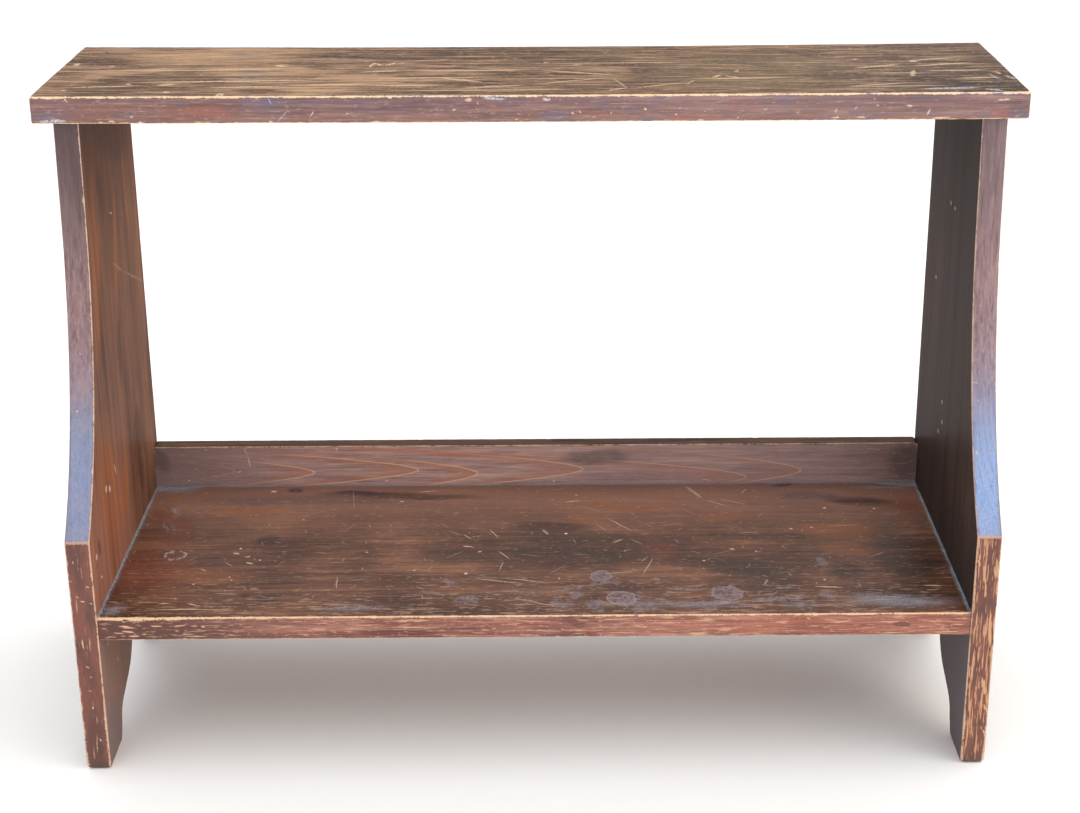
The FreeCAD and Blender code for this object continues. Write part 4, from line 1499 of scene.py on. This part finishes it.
def plain_side(order, seed, gloss):
    """Stained wood for a face that the photo doesn't show."""
    def make(paint):
        grain = Grain(paint, order, seed, 1.6)
        colours = ((80, 52, 42), (112, 76, 62), (140, 100, 78))
        coat = stained_wood(paint, grain, hidden_rings, colours, gloss, varnished)
        coat.lay(grain.dashes(6.0, 300.0, 0.2, 6.0) * 0.3, (156, 116, 92), 0.6)
        tick = ticks(paint, (grain.along, grain.across), *hidden_ticks, seed)
        coat.lay(tick * 0.3, pale_scratch, 0.6)
        wear_arrises(coat, panel_arris_tone)
        return coat.finish(0.25)
    return make


def board_materials(name, looks):
    """The materials of a board's face, back and rim."""
    return {region: make(Paint(name + "_" + region)) for region, make in zip(region_weights, looks)}


# Assembly of the boards

def level_board(low, high):
    """Places for a board that lies flat: the outline in x and y, its face up."""
    middle = (low.z + high.z) / 2

    def to_space(flat, heights):
        return np.column_stack([flat, middle + heights])
    return to_space


def sagging_board(low, high, sag):
    """As level_board, with the middle of the back hanging a little."""
    level = level_board(low, high)

    def to_space(flat, heights):
        points = level(flat, heights)
        bow = 1 - (flat[:, 0] / high.x) ** 2
        back = sag_front_share + (1 - sag_front_share) * (flat[:, 1] - low.y) / (high.y - low.y)
        points[:, 2] -= sag * bow * back
        return points
    return to_space


# How far wear reaches from the arrises

little_wear, some_wear = 0.1 * mm, 0.5 * mm
top_front_reach, worn_corner_reach = 0.9 * mm, 1.8 * mm
shelf_reach, shelf_front_reach, shelf_rubbed_reach = 0.3 * mm, 0.8 * mm, 1.5 * mm
shelf_rubbed_x = -300 * mm
foot_wear, toe_extra_wear = 0.8 * mm, 0.7 * mm


def top_wear(points):
    x, y, z = points.T
    front = (y < top_low.y + 2 * band_width) & (z > (top_low.z + top_high.z) / 2 - top_board_sag)
    reach = np.where(front, top_front_reach, some_wear)
    return np.where(front & (x < worn_corner_x), worn_corner_reach, reach)


def panel_wear(points):
    x, y, z = points.T
    foot = (y < panel_top_front_y + 2 * band_width) & (z < knuckle_height)
    inner = np.abs(x) < (panel_inner_x + panel_outer_x) / 2
    low = foot_wear + toe_extra_wear * np.clip(1 - z / arch_height, 0, 1)
    return np.where(foot, low, np.where(inner, some_wear, little_wear))


def shelf_front_wear(points):
    x, y, z = points.T
    front = (y < shelf_low.y + 2 * band_width) & (z > (shelf_low.z + shelf_high.z) / 2)
    return np.where(front, np.where(x < shelf_rubbed_x, shelf_rubbed_reach, shelf_front_reach), shelf_reach)


def ledge_wear(points):
    x, y, z = points.T
    return np.where(z > ledge_high.z - 2 * band_width, some_wear, little_wear)


def fitted(board, name, to_space, looks, wear):
    """A board in the place of its solid."""
    made = board.build(name + "_wood", to_space, board_materials(name, looks), wear)
    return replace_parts(made, name)


def make_top():
    outline = rectangle(top_low, top_high, [top_corner_round] * 4)
    nowhere = np.zeros(len(outline), bool)
    board = Board(outline, top_high.z - top_low.z, top_arris, top_chips, top_seed, nowhere)
    looks = (top_face, plain_side((0, 1, 2), 31.0, 0.6), top_rim)
    space = sagging_board(top_low, top_high, top_board_sag)
    return fitted(board, "top_board", space, looks, top_wear)


def make_shelf():
    low, high = shelf_low, shelf_high + Vector((0, tongue_proud, 0))
    outline = rectangle(low, high, [shelf_corner_round] * 4)
    buried = np.abs(outline[:, 0]) > panel_inner_x
    board = Board(outline, high.z - low.z, shelf_arris, shelf_chips, shelf_seed, buried)
    looks = (shelf_face, plain_side((0, 1, 2), 37.0, 0.6), shelf_rim)
    return fitted(board, "lower_shelf", level_board(low, high), looks, shelf_front_wear)


def make_ledge():
    low = (-panel_inner_x - joint_overlap, ledge_low.z - joint_overlap)
    high = (panel_inner_x + joint_overlap, ledge_high.z)
    outline = rectangle(low, high, [0, 0, ledge_corner_round, ledge_corner_round / 2])
    buried = (outline[:, 1] < ledge_low.z) | (np.abs(outline[:, 0]) > panel_inner_x)
    thickness = ledge_high.y - ledge_low.y
    board = Board(outline, thickness, ledge_arris, ledge_chips_per_metre, ledge_seed, buried)
    middle = (ledge_low.y + ledge_high.y) / 2

    def to_space(flat, heights):
        return np.column_stack([flat[:, 0], middle - heights, flat[:, 1]])
    looks = (ledge_face, plain_side((0, 2, 1), 41.0, 0.6), ledge_rim)
    return fitted(board, "back_ledge", to_space, looks, ledge_wear)


def make_panel(name, side, looks, seed):
    outline = panel_outline()
    buried = outline[:, 1] > top_underside
    arris = panel_arris + toe_wear * np.clip(1 - outline[:, 1] / toe_height, 0, 1)
    board = Board(outline, panel_thickness, arris, panel_chips, seed, buried)
    middle = side * (panel_inner_x + panel_outer_x) / 2

    def to_space(flat, heights):
        return np.column_stack([middle - side * heights, flat])
    return fitted(board, name, to_space, looks, panel_wear)


def make_panels():
    left_looks = (left_face, plain_side((2, 1, 0), 43.0, 0.45), left_rim)
    right_looks = (right_face, plain_side((2, 1, 0), 47.0, 0.45), right_rim)
    left = make_panel("left_side_panel", -1, left_looks, left_seed)
    return [left, make_panel("right_side_panel", 1, right_looks, right_seed)]


# Fasteners that show keep their solids

fine_relief, filler_relief = 0.02 * mm, 0.06 * mm


def nail_material():
    paint = Paint("nail_steel")
    wear = paint.noise(900.0, 3.0)
    paint.shader.inputs["Metallic"].default_value = 1.0
    colour = paint.mix(wear, (120, 112, 104), (160, 156, 150))
    return Coat(paint, colour, wear * 0.2 + 0.35, wear * fine_relief).finish()


def filler_material():
    paint = Paint("wood_filler")
    grit = paint.noise(1400.0, 3.0)
    cloud = paint.noise(160.0)
    colour = paint.mix(grit, (78, 56, 46), (112, 82, 66))
    coat = Coat(paint, colour, cloud * 0.2 + 0.45, grit * filler_relief)
    coat.lay(cloud.fade(0.55, 0.75), (132, 98, 78), 0.6)
    return coat.finish()


def paint_fasteners():
    looks = {"nails": nail_material(), "filler": filler_material()}
    for name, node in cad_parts.items():
        for word in looks.keys() & set(name.split("_")):
            node.data.materials.clear()
            node.data.materials.append(looks[word])


# Stage

# Lights: place, what they are aimed at, size, radiance and colour
bench_middle = (0, 0, 0.35)
lights = {
    "overhead": ((0.3, 0.2, 4.5), (0.3, 0.2, 0), (10.0, 10.0), 0.7, (1.0, 1.0, 1.0)),
    "right": ((3.2, -1.4, 1.9), bench_middle, (1.8, 1.8), 1.8, (1.0, 0.96, 0.9)),
    "front": ((-0.4, -4.2, 2.2), bench_middle, (3.0, 2.0), 1.2, (1.0, 0.98, 0.96)),
}

# Two blue lights, one beside each panel, that only tint what shines
sky_across, sky_y, sky_z = 0.96, -1.6, 1.7
sky_size = (0.5, 1.4)
sky_radiances = ((-1, 9.0), (1, 18.0))
sky_blue = (0.16, 0.5, 1.0)
sky_aim_above_knuckle = 60 * mm

# Colours of the studio on its left and right
dim_side = (0.52, 0.55, 0.60, 1.0)
bright_side = (1.26, 1.20, 1.12, 1.0)


def make_floor():
    mesh = bpy.data.meshes.new("floor")
    corners = [(x * floor_half, y * floor_half, 0) for x, y in ((-1, -1), (1, -1), (1, 1), (-1, 1))]
    mesh.from_pydata(corners, [], [(0, 1, 2, 3)])
    floor = bpy.data.objects.new("floor", mesh)
    bpy.context.scene.collection.objects.link(floor)
    paint = Paint("floor")
    grit = paint.noise(30.0, 3.0)
    colour = paint.mix(grit, (248, 248, 248), (251, 251, 250))
    mesh.materials.append(Coat(paint, colour, grit + 0.4, grit * fine_relief).finish(0.0))


def area_light(name, place, aim, size, radiance, colour):
    """A rectangular light that the camera doesn't see. Its power follows from the radiance and its size."""
    data = bpy.data.lights.new(name, "AREA")
    data.shape = "RECTANGLE"
    data.size, data.size_y = size
    data.energy = radiance * math.pi * size[0] * size[1]
    data.color = colour
    light = bpy.data.objects.new(name, data)
    light.location = place
    light.rotation_euler = (Vector(aim) - Vector(place)).to_track_quat("-Z", "Y").to_euler()
    light.visible_camera = False
    bpy.context.scene.collection.objects.link(light)
    return light


def make_world():
    """A pale studio, brighter on the right."""
    world = bpy.data.worlds.new("studio")
    world.use_nodes = True
    tree = world.node_tree
    direction = tree.nodes.new("ShaderNodeTexCoord").outputs["Generated"]
    split = tree.nodes.new("ShaderNodeSeparateXYZ")
    rightness = tree.nodes.new("ShaderNodeMapRange")
    tone = tree.nodes.new("ShaderNodeMixRGB")
    rightness.inputs["From Min"].default_value = -1.0
    tone.inputs["Color1"].default_value = dim_side
    tone.inputs["Color2"].default_value = bright_side
    tree.links.new(direction, split.inputs[0])
    tree.links.new(split.outputs["X"], rightness.inputs["Value"])
    tree.links.new(rightness.outputs[0], tone.inputs["Fac"])
    tree.links.new(tone.outputs["Color"], tree.nodes["Background"].inputs["Color"])
    bpy.context.scene.world = world


def make_lights():
    for name, settings in lights.items():
        area_light(name, *settings)
    for side, radiance in sky_radiances:
        aim = (side * panel_inner_x, front_y, knuckle_height + sky_aim_above_knuckle)
        sky = area_light("sky", (side * sky_across, sky_y, sky_z), aim, sky_size, radiance, sky_blue)
        sky.visible_diffuse = False


def main():
    for board in [make_top(), make_shelf(), make_ledge(), *make_panels()]:
        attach(board, "root")
    paint_fasteners()
    make_floor()
    make_world()
    make_lights()
    make_camera()
    bpy.context.scene.view_settings.view_transform = "Standard"


main()
